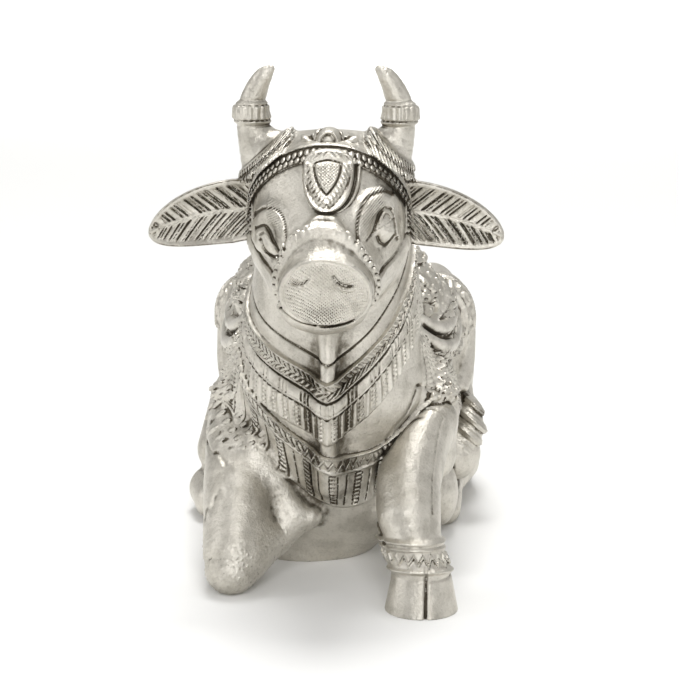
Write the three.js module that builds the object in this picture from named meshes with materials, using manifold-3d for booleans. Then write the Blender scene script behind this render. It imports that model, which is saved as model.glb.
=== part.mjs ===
// A Nandi bull lying down, one solid casting in a silver-coloured metal, chased all over.
// Millimetres, +Z up. The bull faces -Y and its own left side is +X. Z = 0 is the ground.
// The form is a distance field (negative inside) made of tapered limbs and ellipsoids that flow
// into each other. It is turned into a mesh with marching cubes, thinned, and cut flat below.

import * as THREE from 'three';
import { edgeTable, triTable } from 'three/addons/objects/MarchingCubes.js';
import { mergeVertices } from 'three/addons/utils/BufferGeometryUtils.js';
import Module from 'manifold-3d';

// Driving dimensions. The pose and the carving are shares of the height: the figure's canon
// divides it into CANON parts, and every size and place below is in those parts.
const HEIGHT = 113;
const CANON = 113;
const PART = HEIGHT / CANON;

const CELL = 0.9; // the grid on which the form is sampled
const FACES = 9600; // triangles that the figure is thinned to
const FRONT_WEIGHT = 3; // how much more detail is kept in front than behind
const EVENNESS = 2e-5; // how much thinning keeps the triangles alike in size
const GROUND_BLOCK = [200, 200, 40]; // the block that cuts the underside flat
const BAND_EDGE = 0.9; // how softly a raised band rises from the surface
const BELOW = -2; // how far the form goes on below the ground, for the cut that makes it flat

const { abs, sqrt, min, max, sin, cos, atan2, exp, PI } = Math;
const { clamp, lerp, smoothstep, degToRad } = THREE.MathUtils;

// Distance functions

/** Union of two distances with a fillet of about the given size. */
function blend(a, b, size) {
  const h = max(size - abs(a - b), 0) / size;
  return min(a, b) - h * h * size * 0.25;
}

/** Intersection of two distances with a rounded edge of about the given size. */
function blendCut(a, b, size) {
  return -blend(-a, -b, size);
}

/** Union of two distances with a chased groove where the two forms meet. */
function seam(a, b, depth, width) {
  const gap = (a - b) / width;
  return min(a, b) + depth * exp(-gap * gap);
}

/** An ellipsoid, leaning forward about X by the pitch, in degrees. */
function ellipsoid([cx, cy, cz], [rx, ry, rz], pitch = 0) {
  const c = cos(degToRad(pitch));
  const s = sin(degToRad(pitch));
  return (x, y, z) => {
    const u = x - cx;
    const v = (y - cy) * c + (z - cz) * s;
    const w = (z - cz) * c - (y - cy) * s;
    const k0 = sqrt((u / rx) ** 2 + (v / ry) ** 2 + (w / rz) ** 2);
    const k1 = sqrt((u / rx ** 2) ** 2 + (v / ry ** 2) ** 2 + (w / rz ** 2) ** 2);
    return k1 < 1e-9 ? -min(rx, ry, rz) : (k0 * (k0 - 1)) / k1;
  };
}

/** A chain of tapered capsules through points [x, y, z, radius]. */
function limb(points) {
  const links = points.slice(1).map((to, i) => {
    const from = points[i];
    const d = [to[0] - from[0], to[1] - from[1], to[2] - from[2]];
    return { from, d, grow: to[3] - from[3], length2: d[0] ** 2 + d[1] ** 2 + d[2] ** 2 };
  });
  return (x, y, z) => {
    let nearest = Infinity;
    for (const { from, d, grow, length2 } of links) {
      const u = x - from[0];
      const v = y - from[1];
      const w = z - from[2];
      const t = clamp((u * d[0] + v * d[1] + w * d[2]) / length2, 0, 1);
      const gap = sqrt((u - t * d[0]) ** 2 + (v - t * d[1]) ** 2 + (w - t * d[2]) ** 2);
      nearest = min(nearest, gap - from[3] - t * grow);
    }
    return nearest;
  };
}

/** A limb along a smooth curve through points [x, y, z, radius], in the given number of links. */
function curvedLimb(points, count) {
  const places = new THREE.CatmullRomCurve3(points.map(([x, y, z]) => new THREE.Vector3(x, y, z)));
  const radii = new THREE.CatmullRomCurve3(points.map((p) => new THREE.Vector3(p[3], 0, 0)));
  const links = [];
  for (let i = 0; i <= count; i++) {
    const p = places.getPoint(i / count);
    links.push([p.x, p.y, p.z, radii.getPoint(i / count).x]);
  }
  return limb(links);
}

/** 1 between low and high, falling smoothly to 0 across an edge at each end. */
function band(s, low, high, edge = BAND_EDGE) {
  return smoothstep(s, low - edge / 2, low + edge / 2) * (1 - smoothstep(s, high - edge / 2, high + edge / 2));
}

/** A smooth bump of height 1 at zero that has died away at about twice the width. */
function bump(s, width) {
  return exp(-((s / width) ** 2));
}

// Trunk: barrel, saddle, haunches and neck

const RUMP_REACH = 66; // y of the furthest point of the rump and the tail on it
const BARREL_FRONT = -26;
const BARREL_REAR = RUMP_REACH - 4;
const BARREL_MIDDLE = (BARREL_FRONT + BARREL_REAR) / 2;
const BARREL = ellipsoid([0, BARREL_MIDDLE, 27], [25, BARREL_REAR - BARREL_MIDDLE, 31]);
const SADDLE = ellipsoid([0, 7, 46], [26.5, 22, 25.5]);
const HUMP = ellipsoid([0, -4, 62], [11, 12, 12], -20);
const RUMP = ellipsoid([0, RUMP_REACH - 26, 33], [24, 24, 23]);
const THIGH = ellipsoid([20.9, RUMP_REACH - 30, 33], [10.8, 21, 25], 8);
const HIP = ellipsoid([23.8, 25, 47.5], [7.2, 10, 9.8]);
const SHOULDER = ellipsoid([17.5, -11, 31], [10.5, 13, 14], 20);
const ELBOW = ellipsoid([23.6, -9, 22.5], [4, 6.5, 6.4]);

const NECK = limb([
  [0, -22, 84, 13],
  [0, -21, 70, 17.2],
  [0, -19, 56, 19.3],
  [0, -17, 42, 21.5],
  [0, -11, 20, 20.5],
  [-7, -9, 4, 15.4],
]);
const KEEL = limb([
  [0, -40.5, 60, 1],
  [0, -42.3, 46, 1],
  [0, -41, 34, 1],
  [0, -36, 22, 1],
]);

function trunk(x, y, z) {
  const side = abs(x);
  let d = blend(BARREL(x, y, z), SADDLE(x, y, z), 8);
  d = blend(d, HUMP(x, y, z), 7);
  d = blend(d, RUMP(x, y, z), 8);
  d = blend(d, THIGH(side, y, z), 4);
  d = blend(d, HIP(side, y, z), 4);
  d = blend(d, blend(NECK(x, y, z), KEEL(x, y, z), 7), 7);
  d = blend(d, SHOULDER(side, y, z), 5);
  return blend(d, ELBOW(side, y, z), 1.5) - neckwear(x, y, z) - cloth(x, y, z);
}

// Neck: two collars with a fringe that meet in a V on the keel, and a breast band with another
// fringe. Each is a stripe of heights above a curve that dips in front and climbs to the nape.

const NECK_AXIS = -19; // y of the axis that the collars go round
const COLLARS = [
  { low: 42.4, high: 46.6, height: 1.05 },
  { low: 38.9, high: 41.7, height: 1.05 },
  { low: 32.2, high: 39.2, height: 0.65 },
];
const BREAST_BANDS = [
  { low: 24.9, high: 28.9, height: 1.1 },
  { low: 15.2, high: 25.2, height: 0.65 },
];
const THROAT_LINE = 50.4;

/** Angle about the neck: 0 in front, positive on the bull's left. */
function around(x, y) {
  return atan2(x, NECK_AXIS - y);
}

/** Height of a place above the collars' curve, which hangs lower on the bull's right. */
function aboveCollar(x, y, z) {
  const angle = around(x, y);
  const s = sin(angle);
  return z - 13.9 * (1 - cos(angle)) - 7.6 * abs(s) - 5.9 * s * abs(s);
}

/** Height of a place above the breast band's curve, lowest a little to the bull's left. */
function aboveBreastBand(x, y, z) {
  return z - 19 * (1 - cos(around(x, y) - degToRad(15)));
}

/** Raised height of everything round the neck. */
function neckwear(x, y, z) {
  if (y > 12 || z > 84) return 0;
  const high = aboveCollar(x, y, z);
  const low = aboveBreastBand(x, y, z);
  let raised = 0;
  for (const c of COLLARS) raised += c.height * band(high, c.low, c.high);
  for (const c of BREAST_BANDS) raised += c.height * band(low, c.low, c.high);
  return raised - 0.6 * bump(high - THROAT_LINE, 0.6);
}

// Saddle cloth: its hanging edge and rear border, a flower and two swags on each side,
// and pleated ties that fan out from the collar over the shoulder

const CLOTH_REAR = 21;
const CLOTH_HEM = 42;
const CLOTH_FRONT = -30;
const BORDER = 4.6;
const FLOWER_AT = [20.5, -6, 58.5];
const FLOWER_RADIUS = 5.6;
const PETALS = 6;
const TIES_AT = [18.6, -23, 56];
const TIES_REACH = [4, 21];
const TIES = 4;
const TIES_SPREAD = [-98, -42]; // degrees from straight back, in side view

/** Six petals round a boss, as a height of at most 1. */
function flower(x, y, z) {
  const u = y - FLOWER_AT[1];
  const v = z - FLOWER_AT[2];
  const off = x - FLOWER_AT[0];
  const r = sqrt(u * u + v * v + off * off) / FLOWER_RADIUS;
  if (r > 1.5) return 0;
  const petal = 0.78 + 0.22 * cos(PETALS * atan2(v, u));
  return (1 - smoothstep(r / petal, 0.75, 1.15)) * (1 - 0.6 * bump(r - 0.38, 0.1));
}

/** Ridges that run out from the collar over the shoulder, as a height of at most 1. */
function ties(x, y, z) {
  const u = y - TIES_AT[1];
  const v = z - TIES_AT[2];
  const r = sqrt(u * u + v * v);
  const turn = (atan2(v, u) / PI) * 180;
  const share = (turn - TIES_SPREAD[0]) / (TIES_SPREAD[1] - TIES_SPREAD[0]);
  const inside = band(share, 0.02, 0.98, 0.1) * band(r, TIES_REACH[0], TIES_REACH[1], 2);
  return inside * (0.55 + 0.45 * cos(share * TIES * 2 * PI));
}

const SWAGS = [
  curvedLimb([[18.6, -20, 56.5, 1], [22, -12, 52.5, 1.5], [25, -2, 50.5, 1.6], [26, 8, 53, 1.5], [25.5, 15, 57, 1]], 8),
  curvedLimb([[19, -21, 53.5, 1], [23, -13, 48.6, 1.4], [26, -2, 46, 1.6], [27, 8, 47.5, 1.5], [27, 15, 50, 1]], 8),
];

/** Raised height of the saddle cloth and what is carved on it. */
function cloth(x, y, z) {
  const side = abs(x);
  if (z < 24 || y < CLOTH_FRONT) return 0;
  const hem = CLOTH_HEM + 0.012 * (y - 6) ** 2;
  const face = band(y, -80, CLOTH_REAR) * smoothstep(z, hem - 0.4, hem + 0.4);
  const rearBorder = band(y, CLOTH_REAR - BORDER, CLOTH_REAR);
  const hemBorder = band(z, hem, hem + BORDER * 0.7) * band(y, -12, CLOTH_REAR);
  const behindNeck = smoothstep(y, -18, -10);
  const border = max(rearBorder, hemBorder) * face;
  return behindNeck * (0.55 * face + 0.65 * border) + 1.6 * flower(side, y, z) + 1.2 * ties(side, y, z);
}

// Head

const CRANIUM = ellipsoid([0, -33, 87], [16.5, 14, 11.9]);
const FACE = limb([
  [0, -38, 83.5, 13.2],
  [0, -52, 74.5, 9],
]);
const JAW = limb([
  [4.5, -36, 75, 12.2],
  [2, -50, 67, 7.4],
]);
const CHIN = ellipsoid([0, -52.5, 65.3], [9.4, 7.5, 5.8], -12);
const MUZZLE_AT = [0.9, -61.3, 69.7];
const MUZZLE_RADII = [9.7, 7.9];
const MUZZLE_LENGTH = 13;
const MUZZLE_TILT = degToRad(10);
const NOSEBAND = { low: 4.4, high: 7.2, height: 0.75 }; // behind the flat of the nose

/** How far a place lies in front of the nose's flat, and its reach across the oval of the nose. */
function muzzleFrame(x, y, z) {
  const dy = y - MUZZLE_AT[1];
  const dz = z - MUZZLE_AT[2];
  const out = -dy * cos(MUZZLE_TILT) - dz * sin(MUZZLE_TILT);
  const up = dz * cos(MUZZLE_TILT) - dy * sin(MUZZLE_TILT);
  const across = (x - MUZZLE_AT[0]) / MUZZLE_RADII[0];
  return [out, sqrt(across ** 2 + (up / MUZZLE_RADII[1]) ** 2), up];
}

/** The short oval drum of the muzzle, its flat nose facing the viewer. */
function muzzle(x, y, z) {
  const [out, ring] = muzzleFrame(x, y, z);
  const wall = (ring - 1) * MUZZLE_RADII[1];
  return blendCut(wall, abs(out + MUZZLE_LENGTH / 2) - MUZZLE_LENGTH / 2, 1.5);
}

const EYE = ellipsoid([11.6, -45.6, 79.4], [3.4, 3.3, 2.6], 10);
const BROW = curvedLimb([
  [14.4, -40.5, 79.6, 1],
  [13.6, -42.2, 83.4, 1.6],
  [10.9, -45.8, 86, 1.7],
  [8.2, -49.4, 84.4, 1.6],
  [7.3, -52, 80.4, 1],
], 8);
const LEFT_BROW_RAISE = 1; // the bull's left eye and brow lie higher than its right ones
const RIGHT_BROW_RAISE = -1.8;
const CREST = ellipsoid([0, -39.5, 98.6], [3.7, 3.6, 2.4]);
const NOSE_ROLL = curvedLimb([
  [-6.8, -56.8, 79, 0.8],
  [-3.5, -57.2, 81, 1.2],
  [0, -57.3, 81.7, 1.3],
  [3.5, -57.2, 81, 1.2],
  [6.8, -56.8, 79, 0.8],
], 6);

// Headband, teardrop pendant and the straps round the foot of each horn
const HEADBAND = { low: 95.2, high: 98.5, height: 0.85 };
const PENDANT_TOP = 96.7;
const PENDANT_LENGTH = 11.2;
const PENDANT_HALF_WIDTH = 5.9;
const PENDANT_AT = 0.9; // x of the pendant's middle
const DROP_SHARE = 0.5;
const HORN_STRAP = { low: -3.1, high: 0, height: 0.7 };
const STRAP_FOOT = [17.7, 91.6]; // side and height of a place on the horn strap's upper edge
const STRAP_SLOPE = 0.9;

/** Height of a place above the headband's arch, which falls away to the temples. */
function aboveTemple(side, z) {
  return z + 15.5 * (1 - sqrt(max(0, 1 - (side / 17.5) ** 2)));
}

/** 1 inside a teardrop hung point down from the pendant's top, 0 outside. */
function teardrop(side, z, share) {
  const t = (PENDANT_TOP - z) / (PENDANT_LENGTH * (share === 1 ? 1 : 0.66));
  if (t < -0.2 || t > 1) return 0;
  const width = PENDANT_HALF_WIDTH * share * sqrt(1 - max(t, 0) ** 2);
  return 1 - smoothstep(side, width - 0.5, width + 0.3);
}

/** Raised height of the bridle and the ornaments on the head. */
function bridle(x, y, z) {
  const side = abs(x);
  const front = 1 - smoothstep(y, -36, -31);
  const temple = aboveTemple(side, z);
  let raised = front * HEADBAND.height * band(temple, HEADBAND.low, HEADBAND.high);
  const across = abs(x - PENDANT_AT);
  if (y < -40) raised = max(raised, 1.25 * teardrop(across, z, 1)) + 0.5 * teardrop(across, z, DROP_SHARE);
  const strap = z - STRAP_FOOT[1] - STRAP_SLOPE * (STRAP_FOOT[0] - side);
  if (side > 7) raised += HORN_STRAP.height * band(strap, HORN_STRAP.low, HORN_STRAP.high);
  const [out] = muzzleFrame(x, y, z);
  raised += NOSEBAND.height * band(-out, NOSEBAND.low, NOSEBAND.high);
  return raised;
}

// Horns on the poll, each with a fluted ring and a knob on its outer side
const POLL_SHIFT = 1.2; // the horns and ears lie this far to the bull's right
const POLL = limb([
  [0, -30, 93.9, 4.7],
  [9.5, -29, 93.9, 4.7],
]);
const HORN_TIP = [11.5, -31, 112.1, 0.9];
const HORN = curvedLimb([
  [12, -28, 87, 5.6],
  [13.8, -28, 93, 4.6],
  [15.3, -28, 98, 3.7],
  [16, -28.5, 103, 3],
  [14.8, -29.5, 107.3, 2.5],
  [13.1, -30.5, 110.5, 1.9],
  HORN_TIP,
], 18);
const RING = { low: 100.4, high: 104.9, height: 0.65 };
const RING_KNOB = ellipsoid([17.4, -29.4, 102.8], [2.2, 2.6, 2.2]);

function horn(side, y, z) {
  const ringed = HORN(side, y, z) - RING.height * band(z, RING.low, RING.high);
  return blend(ringed, RING_KNOB(side, y, z), 0.8);
}

// Ears: a leaf that stands out sideways, hollow in front

const EAR_ROOT = [13.5, -31, 82.2];
const EAR_LENGTH = 24.9;
const EAR_DROP = 5.6;
const EAR_HALF_WIDTH = 7;
const EAR_WALL = 1.4;
const EAR_HOLLOW = 3;

/** The leaf in its own measures: along it, across it, and in front of its middle surface. */
function earFrame(x, y, z) {
  const along = (x - EAR_ROOT[0]) / EAR_LENGTH;
  const across = z - EAR_ROOT[2] + EAR_DROP * along * along;
  const front = -(y - EAR_ROOT[1]);
  return [along, across, front];
}

/** Half the leaf's width at a place along it: full near the root, rounded at the tip. */
function earWidth(along) {
  const t = clamp(along, 0, 1);
  return EAR_HALF_WIDTH * sqrt(max(0, 1 - t ** 3)) * lerp(0.88, 1, min(1, t * 4));
}

function ear(x, y, z) {
  const [along, across, front] = earFrame(x, y, z);
  const width = max(earWidth(along), 0.2);
  const vein = 0.5 * bump(across, 0.7);
  const dish = front - EAR_HOLLOW * ((across / EAR_HALF_WIDTH) ** 2 - 0.5) - vein;
  const rim = abs(across) - width;
  const tip = (along - 1) * EAR_LENGTH;
  const root = -(along + 0.2) * EAR_LENGTH;
  const outline = max(rim, tip, root);
  return blendCut(outline, abs(dish) - EAR_WALL, 1.4);
}

function head(x, y, z) {
  const side = abs(x);
  const pollSide = abs(x + POLL_SHIFT);
  const raise = x > 0 ? LEFT_BROW_RAISE : RIGHT_BROW_RAISE;
  let d = blend(CRANIUM(x, y, z), FACE(x, y, z), 6);
  d = blend(d, JAW(side, y, z), 4);
  d = blend(d, blend(POLL(pollSide, y, z), horn(pollSide, y, z), 3), 2.5);
  d = blend(d, muzzle(x, y, z), 2.5);
  d = seam(d, CHIN(x, y, z), 0.5, 0.9) - bridle(x, y, z);
  d = blend(d, EYE(side, y, z - raise), 0.6);
  d = blend(d, BROW(side, y, z - raise), 1);
  d = blend(d, CREST(x, y, z), 0.8);
  d = blend(d, NOSE_ROLL(x, y, z), 0.8);
  return blend(d, ear(pollSide, y, z), 1.5);
}

// Forelegs: the left one set forward on its hoof, the right one folded on its knee

const FORE_LEG = limb([
  [21.2, -20, 33, 6.7],
  [18.8, -27, 28.3, 6.9],
  [17, -36, 22, 7.2],
  [17.5, -43, 16.5, 7],
  [19.1, -48.5, 11.5, 5.8],
  [20, -50.2, 8, 5.4],
]);
const ANKLET = { low: 8.6, high: 14.6, height: 0.7, rim: 0.5 };
const ANKLET_SLOPE = 0.16;
const HOOF_AT = [20.6, -52.2, 0];
const HOOF_RADII = [7.6, 7];
const HOOF_HEIGHT = 9.6;
const CLEFT = 0.7;
const CLEFT_AT = 21.6;

/** The planted hoof: wider at the ground than at the top, cloven in front. */
function hoof(x, y, z) {
  const flare = lerp(1.03, 0.77, clamp(z / HOOF_HEIGHT, 0, 1));
  const lean = 1.6 * (z / HOOF_HEIGHT);
  const u = (x - HOOF_AT[0]) / (HOOF_RADII[0] * flare);
  const v = (y - HOOF_AT[1] - lean) / (HOOF_RADII[1] * flare);
  const wall = (sqrt(u * u + v * v) - 1) * HOOF_RADII[0];
  const cleft = y < HOOF_AT[1] ? CLEFT * bump(x - CLEFT_AT, 0.5) : 0;
  return blendCut(wall, z - HOOF_HEIGHT, 3) + cleft;
}

function plantedLeg(x, y, z) {
  const level = z + ANKLET_SLOPE * (y - HOOF_AT[1]);
  const rims = bump(level - ANKLET.low, 0.6) + bump(level - ANKLET.high, 0.6);
  const anklet = ANKLET.height * band(level, ANKLET.low, ANKLET.high) + ANKLET.rim * rims;
  return blend(FORE_LEG(x, y, z), hoof(x, y, z), 1.5) - (y < -36 ? anklet : 0);
}

const FOLDED_ARM = limb([
  [-19.6, -16, 30, 9.6],
  [-20.4, -29, 20, 8.2],
  [-20.3, -41.4, 8.2, 7],
  [-20.9, -43.9, 5.2, 5.7],
]);
const FOLDED_SHANK = limb([
  [-19, -39, 7, 6.2],
  [-12.5, -33, 9.5, 4.6],
  [-8.5, -32, 12, 3.4],
]);
const FOLDED_HOOF = limb([
  [-10, -31, 14.5, 3.2],
  [-4.6, -31.5, 13.4, 2.6],
]);
const SHOULDER_FOLD = limb([
  [-17.5, -29, 29.5, 2.6],
  [-12, -31, 22, 2.6],
  [-9.6, -30.5, 17, 2.8],
]);

// Hindquarters: legs folded beside the belly, the tail round the left thigh, and on each thigh
// a padded strap that hangs from a knob

const HIND_SHIFT = 1.1; // the hind legs lie this far to the bull's right
const STIFLE = limb([
  [24, 28, 24, 8.9],
  [27.7, 14, 15.5, 6.8],
]);
const HIND_FOOT = limb([
  [25.5, 45, 7.5, 6],
  [27.5, 33, 7.8, 5.8],
  [24.7, 22, 5.6, 4.6],
  [24.9, 13, 4.6, 4.2],
  [24.6, 7, 3.6, 4.2],
]);
const FAR_HIND_FOOT = limb([
  [-25.5, 45, 7.5, 6],
  [-27.5, 34, 7, 5.8],
  [-29.8, 22, 6.2, 5.2],
  [-32.1, 13, 5.7, 5.5],
  [-31, 7, 4.6, 4.6],
]);
const THIGH_STRAP = curvedLimb([
  [27.5, 26, 50.5, 1.4],
  [29.4, 27, 45.5, 1.8],
  [29.9, 25.5, 39.5, 1.9],
  [29.6, 23, 34, 1.9],
  [28.8, 20.5, 30.5, 1.7],
], 8);
const STRAP_KNOB = limb([
  [26, 28.5, 51.6, 1.7],
  [28.4, 25, 49.8, 1.9],
]);
const TASSEL = limb([
  [25.5, -19.5, 38.5, 2.4],
  [22.2, -22.5, 38.6, 2.2],
]);
const FRINGE = ellipsoid([23.5, 1, 9.5], [4.6, 7.5, 8.2]);

const TAIL = curvedLimb([
  [0, RUMP_REACH - 13, 53, 3],
  [4, RUMP_REACH - 5.5, 43, 2.9],
  [11, RUMP_REACH - 5, 31, 2.6],
  [19, RUMP_REACH - 9, 20, 2.4],
  [27, RUMP_REACH - 17, 14, 2.3],
  [31, 38, 14.5, 2.3],
  [31.2, 29, 19.6, 2.4],
  [30.4, 23, 24.6, 2.4],
], 24);
const TUFT = curvedLimb([
  [30.4, 23, 25.6, 2.4],
  [30.7, 17.5, 24.4, 3.1],
  [31.1, 13.5, 21.2, 3.4],
  [29.6, 10.5, 18.4, 1.6],
], 8);
const TUFT_ROLL = 3.4; // pitch of the rolls across the tuft

function hindquarters(x, y, z) {
  const side = abs(x);
  const foot = min(HIND_FOOT(x, y, z), FAR_HIND_FOOT(x, y, z));
  let d = blend(STIFLE(abs(x + HIND_SHIFT), y, z), foot, 2);
  d = blend(d, THIGH_STRAP(side, y, z), 0.8);
  d = blend(d, STRAP_KNOB(side, y, z), 0.5);
  const tuft = TUFT(x, y, z) - 0.35 * cos(((z - 0.8 * y) / TUFT_ROLL) * 2 * PI);
  d = blend(d, blend(TAIL(x, y, z), tuft, 1), 1);
  return d;
}

/** The whole figure as a distance in parts of the canon. */
function figure(x, y, z) {
  let d = blend(trunk(x, y, z), head(x, y, z), 3.5);
  for (const swag of SWAGS) d = blend(d, swag(abs(x), y, z), 0.7);
  d = blend(d, hindquarters(x, y, z), 2);
  d = blend(d, FRINGE(x, y, z), 1.5);
  d = blend(d, TASSEL(abs(x), y, z), 1);
  d = seam(d, plantedLeg(x, y, z), 0.6, 1.1);
  let folded = blend(FOLDED_ARM(x, y, z), FOLDED_SHANK(x, y, z), 3);
  folded = seam(folded, FOLDED_HOOF(x, y, z), 0.4, 0.8);
  folded = blend(folded, SHOULDER_FOLD(x, y, z), 2.5);
  d = blend(d, folded, 2);
  return max(d, BELOW - z);
}

// Meshing

const MARGIN = 2; // from the form's furthest points to the edge of the grid
const EAR_REACH = EAR_ROOT[0] + EAR_LENGTH + POLL_SHIFT + MARGIN;
const LOW = [-EAR_REACH, MUZZLE_AT[1] - MARGIN - 2, BELOW - MARGIN];
const HIGH = [EAR_REACH, RUMP_REACH + MARGIN, HORN_TIP[2] + 2 * MARGIN];

// Corners of a grid cell, and the pairs of corners that its twelve edges join.
const CORNERS = [
  [0, 0, 0], [1, 0, 0], [1, 1, 0], [0, 1, 0], [0, 0, 1], [1, 0, 1], [1, 1, 1], [0, 1, 1],
];
const EDGES = [
  [0, 1], [1, 2], [2, 3], [3, 0], [4, 5], [5, 6], [6, 7], [7, 4], [0, 4], [1, 5], [2, 6], [3, 7],
];

/** Samples the field on a grid; blocks of cells that the surface can't cross aren't sampled. */
function sample(field, cell) {
  const size = LOW.map((low, i) => Math.ceil((HIGH[i] - low) / cell) + 1);
  const values = new Float32Array(size[0] * size[1] * size[2]).fill(cell * 9);
  const block = 6;
  const reach = (block * cell * sqrt(3)) / 2 + cell;
  for (let k = 0; k < size[2]; k += block)
    for (let j = 0; j < size[1]; j += block)
      for (let i = 0; i < size[0]; i += block) {
        const middle = [i, j, k].map((n, axis) => LOW[axis] + (n + block / 2) * cell);
        const there = field(...middle);
        const far = abs(there) > reach * 1.6;
        for (let c = k; c < min(k + block, size[2]); c++)
          for (let b = j; b < min(j + block, size[1]); b++)
            for (let a = i; a < min(i + block, size[0]); a++) {
              const x = LOW[0] + a * cell;
              const y = LOW[1] + b * cell;
              const z = LOW[2] + c * cell;
              values[a + size[0] * (b + size[1] * c)] = far ? there : field(x, y, z);
            }
      }
  return { size, values };
}

/** Marching cubes with shared vertices: {positions, faces}, the faces pointing out. */
function polygonise(field, cell) {
  const { size, values } = sample(field, cell);
  const step = [1, size[0], size[0] * size[1]];
  const offset = CORNERS.map((c) => c[0] * step[0] + c[1] * step[1] + c[2] * step[2]);
  const positions = [];
  const faces = [];
  const known = new Map();
  for (let k = 0; k < size[2] - 1; k++)
    for (let j = 0; j < size[1] - 1; j++)
      for (let i = 0; i < size[0] - 1; i++) {
        const at = i + j * step[1] + k * step[2];
        let shape = 0;
        for (let c = 0; c < 8; c++) if (values[at + offset[c]] < 0) shape |= 1 << c;
        if (!edgeTable[shape]) continue;
        const vertexOn = (edge) => {
          const [a, b] = EDGES[edge];
          const key = min(offset[a], offset[b]) * 3 + (edge < 8 ? edge % 2 : 2) + at * 3;
          if (!known.has(key)) {
            const va = values[at + offset[a]];
            const t = clamp(va / (va - values[at + offset[b]]), 0.06, 0.94);
            known.set(key, positions.length / 3);
            [i, j, k].forEach((n, axis) => {
              const from = n + CORNERS[a][axis];
              const to = n + CORNERS[b][axis];
              positions.push(LOW[axis] + lerp(from, to, t) * cell);
            });
          }
          return known.get(key);
        };
        for (let n = shape * 16; triTable[n] !== -1; n += 3)
          faces.push(vertexOn(triTable[n]), vertexOn(triTable[n + 2]), vertexOn(triTable[n + 1]));
      }
  return { positions, faces };
}

// Thinning: edges are collapsed, the least error first, while the surface stays closed

/** The error of a place against the planes summed in a quadric. */
function quadricError(q, x, y, z) {
  const [xx, xy, xz, xw, yy, yz, yw, zz, zw, ww] = q;
  return xx * x * x + 2 * (xy * x * y + xz * x * z + xw * x) + yy * y * y
    + 2 * (yz * y * z + yw * y) + zz * z * z + 2 * zw * z + ww;
}

/** The place of least error of a quadric, or null where its planes don't fix one. */
function quadricPlace(q) {
  const [xx, xy, xz, xw, yy, yz, yw, zz, zw] = q;
  const a = yy * zz - yz * yz;
  const b = xz * yz - xy * zz;
  const c = xy * yz - xz * yy;
  const det = xx * a + xy * b + xz * c;
  if (abs(det) < 1e-4 * (xx + yy + zz) ** 3 / 27) return null;
  const x = -(a * xw + b * yw + c * zw) / det;
  const y = -(b * xw + (xx * zz - xz * xz) * yw + (xy * xz - xx * yz) * zw) / det;
  const z = -(c * xw + (xy * xz - xx * yz) * yw + (xx * yy - xy * xy) * zw) / det;
  return [x, y, z];
}

/** A heap of [cost, ...] entries, the least cost first. */
class Heap {
  constructor() {
    this.items = [];
  }

  push(item) {
    const { items } = this;
    let at = items.push(item) - 1;
    while (at > 0) {
      const above = (at - 1) >> 1;
      if (items[above][0] <= item[0]) break;
      items[at] = items[above];
      at = above;
    }
    items[at] = item;
  }

  pop() {
    const { items } = this;
    const first = items[0];
    const item = items.pop();
    const count = items.length;
    if (!count) return first;
    let at = 0;
    for (;;) {
      let below = 2 * at + 1;
      if (below >= count) break;
      if (below + 1 < count && items[below + 1][0] < items[below][0]) below++;
      if (items[below][0] >= item[0]) break;
      items[at] = items[below];
      at = below;
    }
    items[at] = item;
    return first;
  }
}

/** Evens out the triangles by sliding each vertex along the surface towards its neighbours. */
function relax({ positions, faces }, rounds) {
  const count = positions.length / 3;
  for (let round = 0; round < rounds; round++) {
    const sums = new Float64Array(count * 3);
    const normals = new Float64Array(count * 3);
    const shares = new Uint16Array(count);
    for (let f = 0; f < faces.length; f += 3) {
      const at = [faces[f] * 3, faces[f + 1] * 3, faces[f + 2] * 3];
      const u = [0, 1, 2].map((i) => positions[at[1] + i] - positions[at[0] + i]);
      const v = [0, 1, 2].map((i) => positions[at[2] + i] - positions[at[0] + i]);
      const n = [u[1] * v[2] - u[2] * v[1], u[2] * v[0] - u[0] * v[2], u[0] * v[1] - u[1] * v[0]];
      for (let k = 0; k < 3; k++) {
        shares[at[k] / 3]++;
        for (let i = 0; i < 3; i++) {
          sums[at[k] + i] += positions[at[(k + 1) % 3] + i];
          normals[at[k] + i] += n[i];
        }
      }
    }
    for (let v = 0; v < count; v++) {
      const step = [0, 1, 2].map((i) => sums[3 * v + i] / shares[v] - positions[3 * v + i]);
      const length = Math.hypot(normals[3 * v], normals[3 * v + 1], normals[3 * v + 2]);
      const out = [0, 1, 2].map((i) => normals[3 * v + i] / length);
      const along = step[0] * out[0] + step[1] * out[1] + step[2] * out[2];
      for (let i = 0; i < 3; i++) positions[3 * v + i] += 0.7 * (step[i] - along * out[i]);
    }
  }
  return { positions, faces };
}

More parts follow.
